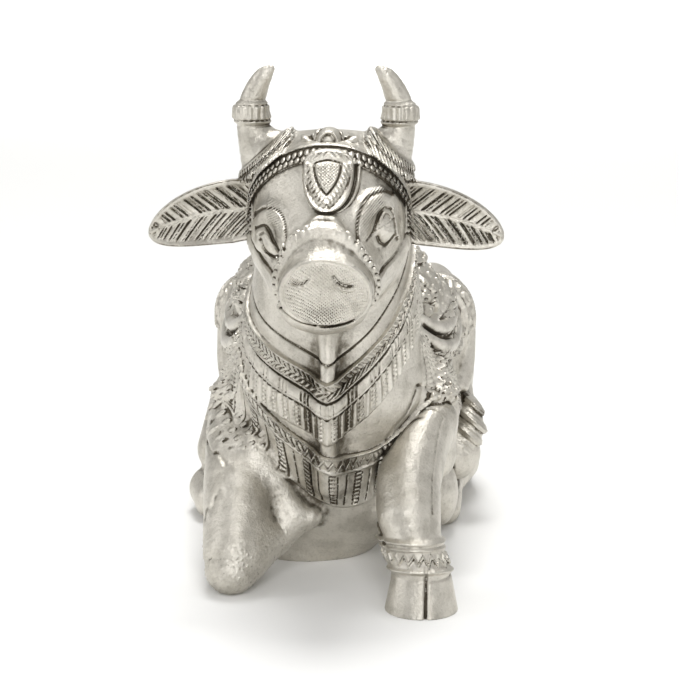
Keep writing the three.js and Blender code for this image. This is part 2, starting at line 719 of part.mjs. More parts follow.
/** Thins a closed mesh to about the given number of triangles. */
function thin({ positions, faces }, target) {
  const count = positions.length / 3;
  const place = Array.from({ length: count }, (_, i) => positions.slice(3 * i, 3 * i + 3));
  const around = Array.from({ length: count }, () => new Set());
  const quadrics = Array.from({ length: count }, () => new Float64Array(10));
  const triangles = [];
  for (let f = 0; f < faces.length; f += 3) triangles.push([faces[f], faces[f + 1], faces[f + 2]]);

  /** Normal of the triangle a, b, c, its length (twice the area), and the area for its edges. */
  const facing = (a, b, c) => {
    const ux = b[0] - a[0];
    const uy = b[1] - a[1];
    const uz = b[2] - a[2];
    const vx = c[0] - a[0];
    const vy = c[1] - a[1];
    const vz = c[2] - a[2];
    const x = uy * vz - uz * vy;
    const y = uz * vx - ux * vz;
    const z = ux * vy - uy * vx;
    const length = sqrt(x * x + y * y + z * z);
    const wx = vx - ux;
    const wy = vy - uy;
    const wz = vz - uz;
    const edges = ux * ux + uy * uy + uz * uz + vx * vx + vy * vy + vz * vz + wx * wx + wy * wy + wz * wz;
    return { x: x / length, y: y / length, z: z / length, length, fullness: length / edges };
  };

  triangles.forEach((triangle, f) => {
    const [a, b, c] = triangle.map((v) => place[v]);
    const { x, y, z, length } = facing(a, b, c);
    const w = -(x * a[0] + y * a[1] + z * a[2]);
    const plane = [x * x, x * y, x * z, x * w, y * y, y * z, y * w, z * z, z * w, w * w];
    const weight = (length / 2) * (a[2] < 0 ? 0.1 : lerp(FRONT_WEIGHT, 1, smoothstep(a[1], -15, 20)));
    for (const v of triangle) {
      around[v].add(f);
      for (let i = 0; i < 10; i++) quadrics[v][i] += plane[i] * weight;
    }
  });

  const neighbours = (v) => {
    const found = new Set();
    for (const f of around[v]) for (const u of triangles[f]) found.add(u);
    found.delete(v);
    return found;
  };
  const refused = Array.from({ length: count }, () => new Set());
  const stamp = new Uint32Array(count);
  const heap = new Heap();
  const sum = new Float64Array(10);
  const offer = (a, b) => {
    for (let i = 0; i < 10; i++) sum[i] = quadrics[a][i] + quadrics[b][i];
    const middle = place[a].map((n, i) => (n + place[b][i]) / 2);
    const span = Math.hypot(...place[a].map((n, i) => n - place[b][i]));
    let to = quadricPlace(sum);
    if (!to || Math.hypot(...to.map((n, i) => n - middle[i])) > span) to = middle;
    const cost = quadricError(sum, ...to) + EVENNESS * span * span * span * span;
    heap.push([cost, a, b, stamp[a], stamp[b], to]);
  };
  for (let a = 0; a < count; a++) for (const b of neighbours(a)) if (a < b) offer(a, b);

  /** Whether the triangles round a that stay keep their facing and fullness when a moves. */
  const staysSound = (a, b, to) => {
    for (const f of around[a]) {
      const [p, q, r] = triangles[f];
      if (p === b || q === b || r === b) continue;
      const before = facing(place[p], place[q], place[r]);
      const after = facing(p === a ? to : place[p], q === a ? to : place[q], r === a ? to : place[r]);
      if (before.x * after.x + before.y * after.y + before.z * after.z < 0.5) return false;
      if (after.fullness < 0.06 && after.fullness < before.fullness) return false;
    }
    return true;
  };

  let left = triangles.length;
  while (left > target && heap.items.length) {
    const [, a, b, stampA, stampB, to] = heap.pop();
    if (stamp[a] !== stampA || stamp[b] !== stampB) continue;
    const besideA = neighbours(a);
    const besideB = neighbours(b);
    if (!besideA.has(b)) continue;
    let shared = 0;
    for (const v of besideA) if (besideB.has(v)) shared++;
    if (shared !== 2 || !staysSound(a, b, to) || !staysSound(b, a, to)) {
      refused[a].add(b);
      refused[b].add(a);
      continue;
    }
    place[a] = to;
    for (let i = 0; i < 10; i++) quadrics[a][i] += quadrics[b][i];
    for (const f of [...around[b]]) {
      const triangle = triangles[f];
      if (triangle.includes(a)) {
        for (const v of triangle) around[v].delete(f);
        triangles[f] = null;
        left--;
      } else {
        triangle[triangle.indexOf(b)] = a;
        around[a].add(f);
      }
    }
    around[b].clear();
    stamp[b]++;
    stamp[a]++;
    refused[a].clear();
    for (const v of neighbours(a)) {
      offer(a, v);
      for (const u of refused[v]) if (u !== a && around[u].size) offer(v, u);
      refused[v].clear();
    }
  }

  const index = new Map();
  const thinned = { positions: [], faces: [] };
  for (const triangle of triangles) {
    if (!triangle) continue;
    for (const v of triangle) {
      if (!index.has(v)) {
        index.set(v, index.size);
        thinned.positions.push(...place[v]);
      }
      thinned.faces.push(index.get(v));
    }
  }
  return thinned;
}

// The flat underside and the finished part

const { Manifold, Mesh } = await Module().then((wasm) => {
  wasm.setup();
  return wasm;
});

/** A manifold solid from vertex places and triangles. */
function solid(positions, faces) {
  return new Manifold(new Mesh({
    numProp: 3,
    vertProperties: new Float32Array(positions),
    triVerts: new Uint32Array(faces),
  }));
}

/** A manifold solid from an indexed three.js geometry, its doubled corners joined. */
function solidOf(geometry) {
  const plain = geometry.clone();
  plain.deleteAttribute('normal');
  plain.deleteAttribute('uv');
  const joined = mergeVertices(plain);
  return solid(joined.attributes.position.array, joined.index.array);
}

const { positions, faces } = thin(relax(polygonise(figure, CELL), 3), FACES);
const ground = new THREE.BoxGeometry(...GROUND_BLOCK);
ground.translate(0, 0, -GROUND_BLOCK[2] / 2);
const cut = solid(positions, faces).subtract(solidOf(ground)).getMesh();

const geometry = new THREE.BufferGeometry();
const corners = new Float32Array(cut.vertProperties);
geometry.setAttribute('position', new THREE.BufferAttribute(corners, 3));
geometry.setIndex(new THREE.BufferAttribute(new Uint32Array(cut.triVerts), 1));
geometry.scale(PART, PART, PART);
geometry.computeBoundingBox();
const middle = geometry.boundingBox.getCenter(new THREE.Vector3());
geometry.translate(-middle.x, -middle.y, 0);
geometry.computeVertexNormals();

const metal = new THREE.MeshStandardMaterial({ color: 0xbab4a6, metalness: 1, roughness: 0.35 });
const bull = new THREE.Mesh(geometry, metal);
bull.name = 'nandi_bull';

const group = new THREE.Group();
group.name = 'nandi_bull_figure';
group.add(bull);
export default group;
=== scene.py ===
"""Dresses a Nandi bull lying down, a chased casting in a silver-coloured metal.

The form is the same distance field as the solid's, in the figure's canon (millimetres, +Z up, the
bull facing -Y, its own left +X), with the finer chasing added to it. Each region of the casting is
meshed from the field, thinned and laid back on it, and takes its normals from it.
"""

import logging
import math
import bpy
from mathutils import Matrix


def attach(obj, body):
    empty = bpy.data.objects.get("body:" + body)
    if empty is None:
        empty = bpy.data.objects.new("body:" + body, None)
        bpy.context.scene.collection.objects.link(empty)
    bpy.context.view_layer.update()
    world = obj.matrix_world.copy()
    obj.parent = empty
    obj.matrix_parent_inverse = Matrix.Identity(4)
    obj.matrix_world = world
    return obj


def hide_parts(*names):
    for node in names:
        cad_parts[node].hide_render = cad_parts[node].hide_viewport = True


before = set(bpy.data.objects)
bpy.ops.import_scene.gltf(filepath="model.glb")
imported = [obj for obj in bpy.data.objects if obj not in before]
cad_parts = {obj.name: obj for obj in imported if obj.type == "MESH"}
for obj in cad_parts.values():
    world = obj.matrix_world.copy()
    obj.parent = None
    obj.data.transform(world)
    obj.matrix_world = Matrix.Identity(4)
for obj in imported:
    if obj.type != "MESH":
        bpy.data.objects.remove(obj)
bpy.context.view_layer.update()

from concurrent.futures import ThreadPoolExecutor
from dataclasses import dataclass
from enum import Enum
from typing import Callable

import bmesh
import bpy
import numpy as np
from mathutils import Vector

Array = np.ndarray
Point = tuple[float, float, float]
Link = tuple[float, float, float, float]
Flat = tuple[float, float]
Colour = tuple[float, float, float, float]

NODE = "nandi_bull"
MIDDLE = (-1.2542, 1.2373)  # where the middle of the casting's footprint lies in the canon
TO_METRES = 0.001
POLL_SHIFT = 1.2  # the horns and ears lie this far to the bull's right
FAR = 16.0  # a distance at which a form no longer flows into its neighbours
BAND_EDGE = 0.9  # how softly a raised band rises from the surface
# HOLLOW_LOOKS measures the recesses that are painted with patina and shade.
HOLLOW_LOOKS = ((0.35, 0.42), (0.8, 0.38), (2.0, 0.15))  # how far out of the metal, and its weight
CROWN_LOOKS = (0.35, 0.8)  # how far into the metal

log = logging.getLogger("bull")


# Measures of a field


def smoothstep(s: Array, low: float, high: float) -> Array:
    """A smooth rise from 0 at low to 1 at high."""
    t = np.clip((s - low) / (high - low), 0, 1)
    return t * t * (3 - 2 * t)


def band(s: Array, low: float, high: float, edge: float = BAND_EDGE) -> Array:
    """1 between low and high, falling smoothly to 0 across an edge at each end."""
    rise = smoothstep(s, low - edge / 2, low + edge / 2)
    return rise * (1 - smoothstep(s, high - edge / 2, high + edge / 2))


def bump(s: Array, width: float) -> Array:
    """A smooth bump of height 1 at zero."""
    return np.exp(-((s / width) ** 2))


def ridges(s: Array, pitch: float) -> Array:
    """Rounded ridges of height 1, repeated at the pitch."""
    return 0.5 + 0.5 * np.cos(s * (2 * math.pi / pitch))


def beads(along: Array, across: Array, pitch: float, half_width: float, share: float = 0.46) -> Array:
    """A row of domed beads of height 1.

    Args:
        along: Place along the row, in millimetres.
        across: Place across the row, 0 at its middle.
        pitch: From one bead to the next.
        half_width: Half a bead's size across the row.
        share: Half a bead's size along the row, as a share of the pitch.

    Returns:
        The height at each place.
    """
    u = (along / pitch - np.round(along / pitch)) / share
    return np.sqrt(np.clip(1 - u * u - (across / half_width) ** 2, 0, 1))


def stipple(p: "Places", pitch: float) -> Array:
    """Uneven punched dots of height 1 all over a form."""
    first = ridges(p.x + 0.6 * p.y, pitch) * ridges(p.y + 0.5 * p.z, 1.13 * pitch)
    return smoothstep(first * ridges(p.z - 0.7 * p.x, 0.91 * pitch), 0.15, 0.6)


def blend(a: Array, b: Array, size: float) -> Array:
    """Union of two distances with a fillet of about the given size."""
    h = np.maximum(size - np.abs(a - b), 0) / size
    return np.minimum(a, b) - h * h * (size * 0.25)


def blend_cut(a: Array, b: Array, size: float) -> Array:
    """Intersection of two distances with a rounded edge of about the given size."""
    return -blend(-a, -b, size)


def seam(a: Array, b: Array, depth: float, width: float) -> Array:
    """Union of two distances with a chased groove where the two forms meet."""
    gap = (a - b) / width
    return np.minimum(a, b) + depth * np.exp(-gap * gap)


class Places:
    """Places in the canon, in millimetres, with the box and the ball that hold them."""

    def __init__(self, x: Array, y: Array, z: Array) -> None:
        """Takes three arrays of the same length.

        Args:
            x: How far each place lies to the bull's left.
            y: How far it lies to its rear.
            z: Its height.
        """
        self.x, self.y, self.z = x, y, z
        self.low = np.array([x.min(), y.min(), z.min()], float)
        self.high = np.array([x.max(), y.max(), z.max()], float)
        self.middle = (self.low + self.high) / 2
        self.reach = float(np.linalg.norm(self.high - self.low)) / 2
        self._folded: "Places | None" = None

    @property
    def folded(self) -> "Places":
        """The same places with the bull's right side mirrored onto its left.

        Returns:
            The mirrored places.
        """
        if self._folded is None:
            self._folded = Places(np.abs(self.x), self.y, self.z)
        return self._folded

    def full(self, value: float) -> Array:
        """The same value at every place."""
        return np.full_like(self.x, value)

    def meets(self, low: Point, high: Point) -> bool:
        """Whether any place may lie in the box from low to high."""
        return bool(np.all(self.low <= high) and np.all(self.high >= low))

    def astride(self, shift: float) -> "Places":
        """The same places mirrored onto one side of a plane that lies to the bull's right."""
        return Places(np.abs(self.x + np.float32(shift)), self.y, self.z)

    def lowered(self, by: Array) -> "Places":
        """The same places measured from a form that is raised by some height."""
        return Places(self.x, self.y, self.z - by)


@dataclass(frozen=True)
class Ellipsoid:
    """An ellipsoid, leaning forward about X by its pitch in degrees."""

    centre: Point
    radii: Point
    pitch: float = 0.0

    def distance(self, p: Places) -> Array:
        """Distance of each place from the surface, negative inside.

        Args:
            p: The places.

        Returns:
            The distance at each place.
        """
        gap = np.linalg.norm(np.array(self.centre) - p.middle) - max(self.radii) - p.reach
        if gap > FAR:
            return p.full(FAR)
        c, s = math.cos(math.radians(self.pitch)), math.sin(math.radians(self.pitch))
        dy, dz = p.y - self.centre[1], p.z - self.centre[2]
        u = (p.x - self.centre[0]) / self.radii[0]
        v = (dy * c + dz * s) / self.radii[1]
        w = (dz * c - dy * s) / self.radii[2]
        k0 = np.sqrt(u * u + v * v + w * w)
        k1 = np.sqrt((u / self.radii[0]) ** 2 + (v / self.radii[1]) ** 2 + (w / self.radii[2]) ** 2)
        return k0 * (k0 - 1) / np.maximum(k1, 1e-6)


def spline(points: Array, count: int) -> Array:
    """Places on a centripetal curve through the points, evenly shared over its spans.

    Args:
        points: One row for each point.
        count: The number of links; there is one more place than that.

    Returns:
        One row for each place.
    """
    last = len(points) - 1
    padded = np.vstack([2 * points[0] - points[1], points, 2 * points[-1] - points[-2]])
    found = []
    for step in range(count + 1):
        t = last * step / count
        span = min(int(t), last - 1)
        t -= span
        a, b, c, d = padded[span : span + 4]
        gaps = [float(((q - r) ** 2).sum()) ** 0.25 for q, r in ((b, a), (c, b), (d, c))]
        mid = gaps[1] if gaps[1] > 1e-4 else 1.0
        before = gaps[0] if gaps[0] > 1e-4 else mid
        after = gaps[2] if gaps[2] > 1e-4 else mid
        t1 = ((b - a) / before - (c - a) / (before + mid) + (c - b) / mid) * mid
        t2 = ((c - b) / mid - (d - b) / (mid + after) + (d - c) / after) * mid
        found.append(
            b + t1 * t + (-3 * b + 3 * c - 2 * t1 - t2) * t**2 + (2 * b - 2 * c + t1 + t2) * t**3
        )
    return np.array(found)


class Limb:
    """A chain of tapered capsules through points x, y, z, radius."""

    def __init__(self, points: list[Link], links: int = 0) -> None:
        """Takes the points, and the number of links where they lie on a smooth curve.

        Args:
            points: The points, one after another.
            links: The number of links, or 0 where they are straight.
        """
        rows = np.array(points, float)
        if links:
            rows = np.hstack([spline(rows[:, :3], links), spline(rows[:, 3:], links)])
        self.start, self.step = rows[:-1], rows[1:] - rows[:-1]
        self.length2 = (self.step[:, :3] ** 2).sum(1)
        self.thickest = rows[:, 3].max()

    def distance(self, p: Places) -> Array:
        """Distance of each place from the surface, negative inside.

        Args:
            p: The places.

        Returns:
            The distance at each place.
        """
        off = p.middle - self.start[:, :3]
        t = np.clip((off * self.step[:, :3]).sum(1) / self.length2, 0, 1)
        gaps = np.linalg.norm(off - t[:, None] * self.step[:, :3], axis=1) - self.thickest - p.reach
        nearest = p.full(FAR)
        for link in np.flatnonzero(gaps < FAR):
            ax, ay, az, radius = (float(n) for n in self.start[link])
            dx, dy, dz, grow = (float(n) for n in self.step[link])
            u, v, w = p.x - ax, p.y - ay, p.z - az
            t = np.clip((u * dx + v * dy + w * dz) / float(self.length2[link]), 0, 1)
            gap = np.sqrt((u - t * dx) ** 2 + (v - t * dy) ** 2 + (w - t * dz) ** 2)
            nearest = np.minimum(nearest, gap - radius - t * grow)
        return nearest


class ChasedLine:
    """A line drawn on the casting as seen straight from the front, through points x, z."""

    def __init__(self, points: list[Flat], width: float, depth: float, behind: float = -20.0) -> None:
        """Lays the line out.

        Args:
            points: The points x, z, one after another.
            width: The line's half-width.
            depth: Its depth, negative for a ridge.
            behind: The y beyond which it isn't drawn.
        """
        rows = np.array(points, float)
        self.rows = spline(rows, 4 * (len(rows) - 1)) if len(rows) > 2 else rows
        self.width, self.depth, self.behind = width, depth, behind
        low, high = self.rows.min(0) - 3 * width, self.rows.max(0) + 3 * width
        self.box = ((low[0], -80.0, low[1]), (high[0], behind, high[1]))

    def cut(self, p: Places) -> Array | float:
        """How deep the line is cut at each place.

        Args:
            p: The places.

        Returns:
            The depth at each place.
        """
        if not p.meets(*self.box):
            return 0.0
        nearest = p.full(FAR)
        for (ax, az), (bx, bz) in zip(self.rows[:-1], self.rows[1:]):
            dx, dz = float(bx - ax), float(bz - az)
            u, w = p.x - float(ax), p.z - float(az)
            t = np.clip((u * dx + w * dz) / (dx * dx + dz * dz), 0, 1)
            nearest = np.minimum(nearest, (u - t * dx) ** 2 + (w - t * dz) ** 2)
        drawn = self.depth * np.exp(-nearest / self.width**2)
        return drawn * (p.y < self.behind)


# Trunk: barrel, saddle, haunches and neck


@dataclass(frozen=True)
class Trunk:
    """The smooth body under everything that is chased on it."""

    barrel: Ellipsoid = Ellipsoid((0, 18, 27), (25, 44, 31))
    saddle: Ellipsoid = Ellipsoid((0, 7, 46), (26.5, 22, 25.5))
    hump: Ellipsoid = Ellipsoid((0, -4, 62), (11, 12, 12), -20)
    rump: Ellipsoid = Ellipsoid((0, 40, 33), (24, 24, 23))
    thigh: Ellipsoid = Ellipsoid((20.9, 36, 33), (10.8, 21, 25), 8)
    hip: Ellipsoid = Ellipsoid((23.8, 25, 47.5), (7.2, 10, 9.8))
    shoulder: Ellipsoid = Ellipsoid((17.5, -11, 31), (10.5, 13, 14), 20)
    elbow: Ellipsoid = Ellipsoid((23.6, -9, 22.5), (4, 6.5, 6.4))
    neck: Limb = Limb(
        [
            (0, -22, 84, 13),
            (0, -21, 70, 17.2),
            (0, -19, 56, 19.3),
            (0, -17, 42, 21.5),
            (0, -11, 20, 20.5),
            (-7, -9, 4, 15.4),
        ],
    )
    keel: Limb = Limb([(0, -40.5, 60, 1), (0, -42.3, 46, 1), (0, -41, 34, 1), (0, -36, 22, 1)])

    def distance(self, p: Places) -> Array:
        """Distance from the trunk's surface.

        Args:
            p: The places.

        Returns:
            The distance at each place.
        """
        d = blend(self.barrel.distance(p), self.saddle.distance(p), 8)
        d = blend(d, self.hump.distance(p), 7)
        d = blend(d, self.rump.distance(p), 8)
        d = blend(d, self.thigh.distance(p.folded), 4)
        d = blend(d, self.hip.distance(p.folded), 4)
        d = blend(d, blend(self.neck.distance(p), self.keel.distance(p), 7), 7)
        d = blend(d, self.shoulder.distance(p.folded), 5)
        return blend(d, self.elbow.distance(p.folded), 1.5)


@dataclass(frozen=True)
class Neckwear:
    """Two collars with a fringe that meet in a V on the keel, and a breast band with a fringe."""

    axis: float = -19.0
    radius: float = 21.0
    throat_line: float = 50.4
    cord_group: float = 5.4
    fringe_pitch: float = 3.0
    chevron_pitch: float = 2.1
    panel: float = 7.4

    def turn(self, p: Places) -> Array:
        """Angle about the neck: 0 in front, positive on the bull's left."""
        return np.arctan2(p.x, self.axis - p.y)

    def collar_level(self, p: Places, turn: Array) -> Array:
        """Height above the collars' curve, which hangs lower on the bull's right."""
        s = np.sin(turn)
        return p.z - 13.9 * (1 - np.cos(turn)) - 7.6 * np.abs(s) - 5.9 * s * np.abs(s)

    def breast_level(self, p: Places, turn: Array) -> Array:
        """Height above the breast band's curve, lowest a little to the bull's left."""
        return p.z - 19 * (1 - np.cos(turn - math.radians(15)))

    def height(self, p: Places) -> Array | float:
        """Raised height of everything round the neck.

        Args:
            p: The places.

        Returns:
            The height at each place.
        """
        if not p.meets((-60, -60, 8), (60, 12, 84)):
            return 0.0
        turn = self.turn(p)
        along = turn * self.radius
        high = self.collar_level(p, turn)
        low = self.breast_level(p, turn)
        raised = self.collars(along, high) + self.breast(along, low, turn)
        raised = raised - 0.4 * bump(high - self.throat_line, 0.3)
        return raised * ((p.y <= 12) & (p.z <= 84))

    def collars(self, along: Array, high: Array) -> Array:
        """The upper collar with its strokes, the smooth cord below it, and their fringe.

        Args:
            along: How far round each place lies, in millimetres.
            high: Its height above the collars' curve.

        Returns:
            The height at each place.
        """
        upper = 0.7 * band(high, 42.4, 46.6) + 0.4 * (bump(high - 42.7, 0.3) + bump(high - 46.3, 0.3))
        slant = ridges(along + 0.8 * np.abs(high - 44.5), 1.3)
        upper = upper + 0.55 * slant * band(high, 43.2, 45.9, 0.4) * (1 - 0.8 * bump(high - 44.5, 0.22))
        cord = 1.05 * np.sqrt(np.clip(1 - ((high - 40.3) / 1.7) ** 2, 0, 1))
        group = along / self.cord_group - np.round(along / self.cord_group)
        twist = 0.32 * band(group * self.cord_group, -1.3, 1.3, 0.3) * (1 - ridges(along, 0.95))
        cord = cord - twist * band(high, 38.9, 41.7)
        fringe = 0.4 * band(high, 32.4, 39.2, 0.5)
        wide = (along / self.fringe_pitch - np.round(along / self.fringe_pitch)) * self.fringe_pitch
        plain = bump(wide, 0.55)
        beaded = bump(np.abs(wide) - self.fringe_pitch / 2, 0.42) * (0.45 + 0.55 * ridges(high, 0.95))
        fringe = fringe + 0.6 * np.maximum(plain, beaded) * band(high, 32.6, 38.4, 0.5)
        return upper + cord + fringe

    def breast(self, along: Array, low: Array, turn: Array) -> Array:
        """The breast band, chevrons in front and a rope of beads beside, over panels of fringe.

        Args:
            along: How far round each place lies, in millimetres.
            low: Its height above the breast band's curve.
            turn: Its angle about the neck.

        Returns:
            The height at each place.
        """
        plate = 0.75 * band(low, 24.9, 28.9, 0.6)
        edges = 0.3 * (bump(low - 25.2, 0.3) + bump(low - 28.6, 0.3))
        wave = np.abs(along / self.chevron_pitch - np.round(along / self.chevron_pitch)) * 4 - 1
        chevrons = bump(low - 26.9 - 0.85 * wave, 0.38)
        rope = beads(along + 0.6 * (low - 26.9), low - 26.9, 1.45, 1.15)
        front = 1 - smoothstep(np.abs(turn - math.radians(8)), 0.42, 0.5)
        worked = 0.55 * (front * chevrons + (1 - front) * rope) * band(low, 25.5, 28.4, 0.4)
        share = along / self.panel - np.floor(along / self.panel)
        over = share * self.panel
        ladder = band(share, 0.02, 0.26, 0.04)
        rungs = 0.4 * ladder * ridges(low, 1.0)
        lines = bump(over - 0.1, 0.16) + bump(over - 2.1, 0.16) + bump(over - 4.7, 0.18)
        lines = lines * band(low, 16.2, 24.2, 0.5)
        fringe = band(low, 15.4, 25.0, 0.6) * (0.65 + rungs - 0.32 * lines)
        return plate + edges + worked + fringe


@dataclass(frozen=True)
class SaddleCloth:
    """The cloth over the back: its borders, a flower, swags and ties on each side."""

    rear: float = 21.0
    hem: float = 42.0
    border: float = 4.6
    flower_at: Point = (20.5, -6, 58.5)
    flower_radius: float = 5.6
    petals: int = 6
    ties_at: Point = (18.6, -23, 56)
    ties_from: float = -98.0
    ties_spread: float = 56.0
    ties_reach: Flat = (4.0, 21.0)
    strings: int = 6
    ring_pitch: float = 3.2
    lattice: float = 3.6
    swags: tuple[Limb, ...] = (
        Limb(
            [
                (18.6, -20, 56.5, 1),
                (22, -12, 52.5, 1.5),
                (25, -2, 50.5, 1.6),
                (26, 8, 53, 1.5),
                (25.5, 15, 57, 1),
            ],
            links=8,
        ),
        Limb(
            [
                (19, -21, 53.5, 1),
                (23, -13, 48.6, 1.4),
                (26, -2, 46, 1.6),
                (27, 8, 47.5, 1.5),
                (27, 15, 50, 1),
            ],
            links=8,
        ),
    )

    def height(self, p: Places) -> Array | float:
        """Raised height of the cloth and what is carved on it.

        Args:
            p: The places.

        Returns:
            The height at each place.
        """
        if not p.meets((-60, -30, 24), (60, 24, 100)):
            return 0.0
        hem = self.hem + 0.012 * (p.y - 6) ** 2
        face = band(p.y, -80, self.rear) * smoothstep(p.z - hem, -0.4, 0.4)
        rear_border = band(p.y, self.rear - self.border, self.rear)
        hem_border = band(p.z - hem, 0, self.border * 0.7) * band(p.y, -12, self.rear)
        behind_neck = smoothstep(p.y, -18, -10)
        borders = np.maximum(rear_border, hem_border) * face
        raised = behind_neck * (0.55 * face + 0.55 * borders + self.worked(p, hem) * face)
        raised = raised + 1.6 * self.flower(p) + 1.2 * self.ties(p)
        return raised * ((p.y > -30) & (p.z > 24))

    def worked(self, p: Places, hem: Array) -> Array:
        """Rings and beads on the borders, and a lattice of dots over the cloth between them.

        Args:
            p: The places.
            hem: Height of the cloth's hem at each place.

        Returns:
            The height at each place.
        """
        girth = np.arctan2(p.x, p.z - 30) * 28
        ring_across = p.y - (self.rear - self.border / 2)
        u = (girth / self.ring_pitch - np.round(girth / self.ring_pitch)) * self.ring_pitch
        rings = bump(np.sqrt(u * u + ring_across**2) - 1.0, 0.34)
        edge = bump(np.abs(ring_across) - 2.0, 0.3)
        v = (p.y / self.ring_pitch - np.round(p.y / self.ring_pitch)) * self.ring_pitch
        hem_across = p.z - hem - 1.7
        hem_rings = bump(np.sqrt(v * v + hem_across**2) - 0.8, 0.32) * band(p.y, -12, self.rear - 5, 0.4)
        inner = band(p.y, -40, self.rear - self.border, 0.5) * smoothstep(p.z - hem, 4, 4.6)
        dots = ridges(girth + p.y, self.lattice) * ridges(girth - p.y, self.lattice)
        return 0.5 * (rings + edge) * band(p.y, self.rear - self.border, self.rear, 0.3) + (
            0.5 * hem_rings + 0.4 * inner * smoothstep(dots, 0.45, 0.8)
        )

    def flower(self, p: Places) -> Array:
        """Petals round a boss, as a height of at most 1.

        Args:
            p: The places.

        Returns:
            The height at each place.
        """
        u, v = p.y - self.flower_at[1], p.z - self.flower_at[2]
        off = p.folded.x - self.flower_at[0]
        r = np.sqrt(u * u + v * v + off * off) / self.flower_radius
        spin = np.arctan2(v, u)
        petal = 0.78 + 0.22 * np.cos(self.petals * spin)
        shape = (1 - smoothstep(r / petal, 0.75, 1.15)) * (1 - 0.6 * bump(r - 0.38, 0.1))
        return shape * (1 - 0.3 * bump(np.sin(self.petals / 2 * spin), 0.22) * smoothstep(r, 0.42, 0.5))

    def ties(self, p: Places) -> Array:
        """Strings of beads that fan out from the collar over the shoulder.

        Args:
            p: The places.

        Returns:
            The height at each place.
        """
        u, v = p.y - self.ties_at[1], p.z - self.ties_at[2]
        r = np.sqrt(u * u + v * v)
        share = (np.degrees(np.arctan2(v, u)) - self.ties_from) / self.ties_spread
        inside = band(share, 0.02, 0.98, 0.1) * band(r, *self.ties_reach, 2)
        beaded = 0.55 + 0.45 * np.cos(share * self.strings * 2 * math.pi)
        return inside * beaded * (0.8 + 0.2 * ridges(r, 1.2))


# Head


@dataclass(frozen=True)
class Shield:
    """A plate that hangs point down: round at the top, its sides nearly straight, as seen from the front."""

    at: float
    half: float
    shoulder: float
    foot: float
    power: float = 3.0
    crown: float = 2.8
    bow: float = 2.2

    def outside(self, p: Places) -> Array:
        """How far each place lies outside the plate's edge, negative inside.

        Args:
            p: The places.

        Returns:
            The distance at each place.
        """
        side = np.abs(p.x - self.at) / self.half
        length = self.shoulder - self.foot
        below = np.clip(self.shoulder - p.z, 0, None) / length
        above = np.clip(p.z - self.shoulder, 0, None) / self.crown
        level = side**self.bow + below**self.power + above**2 - 1
        climb = self.power * below ** (self.power - 1) / length + 2 * above / self.crown
        slope = np.sqrt((self.bow * side ** (self.bow - 1) / self.half) ** 2 + climb**2)
        return level / np.maximum(slope, 0.3 / self.half)


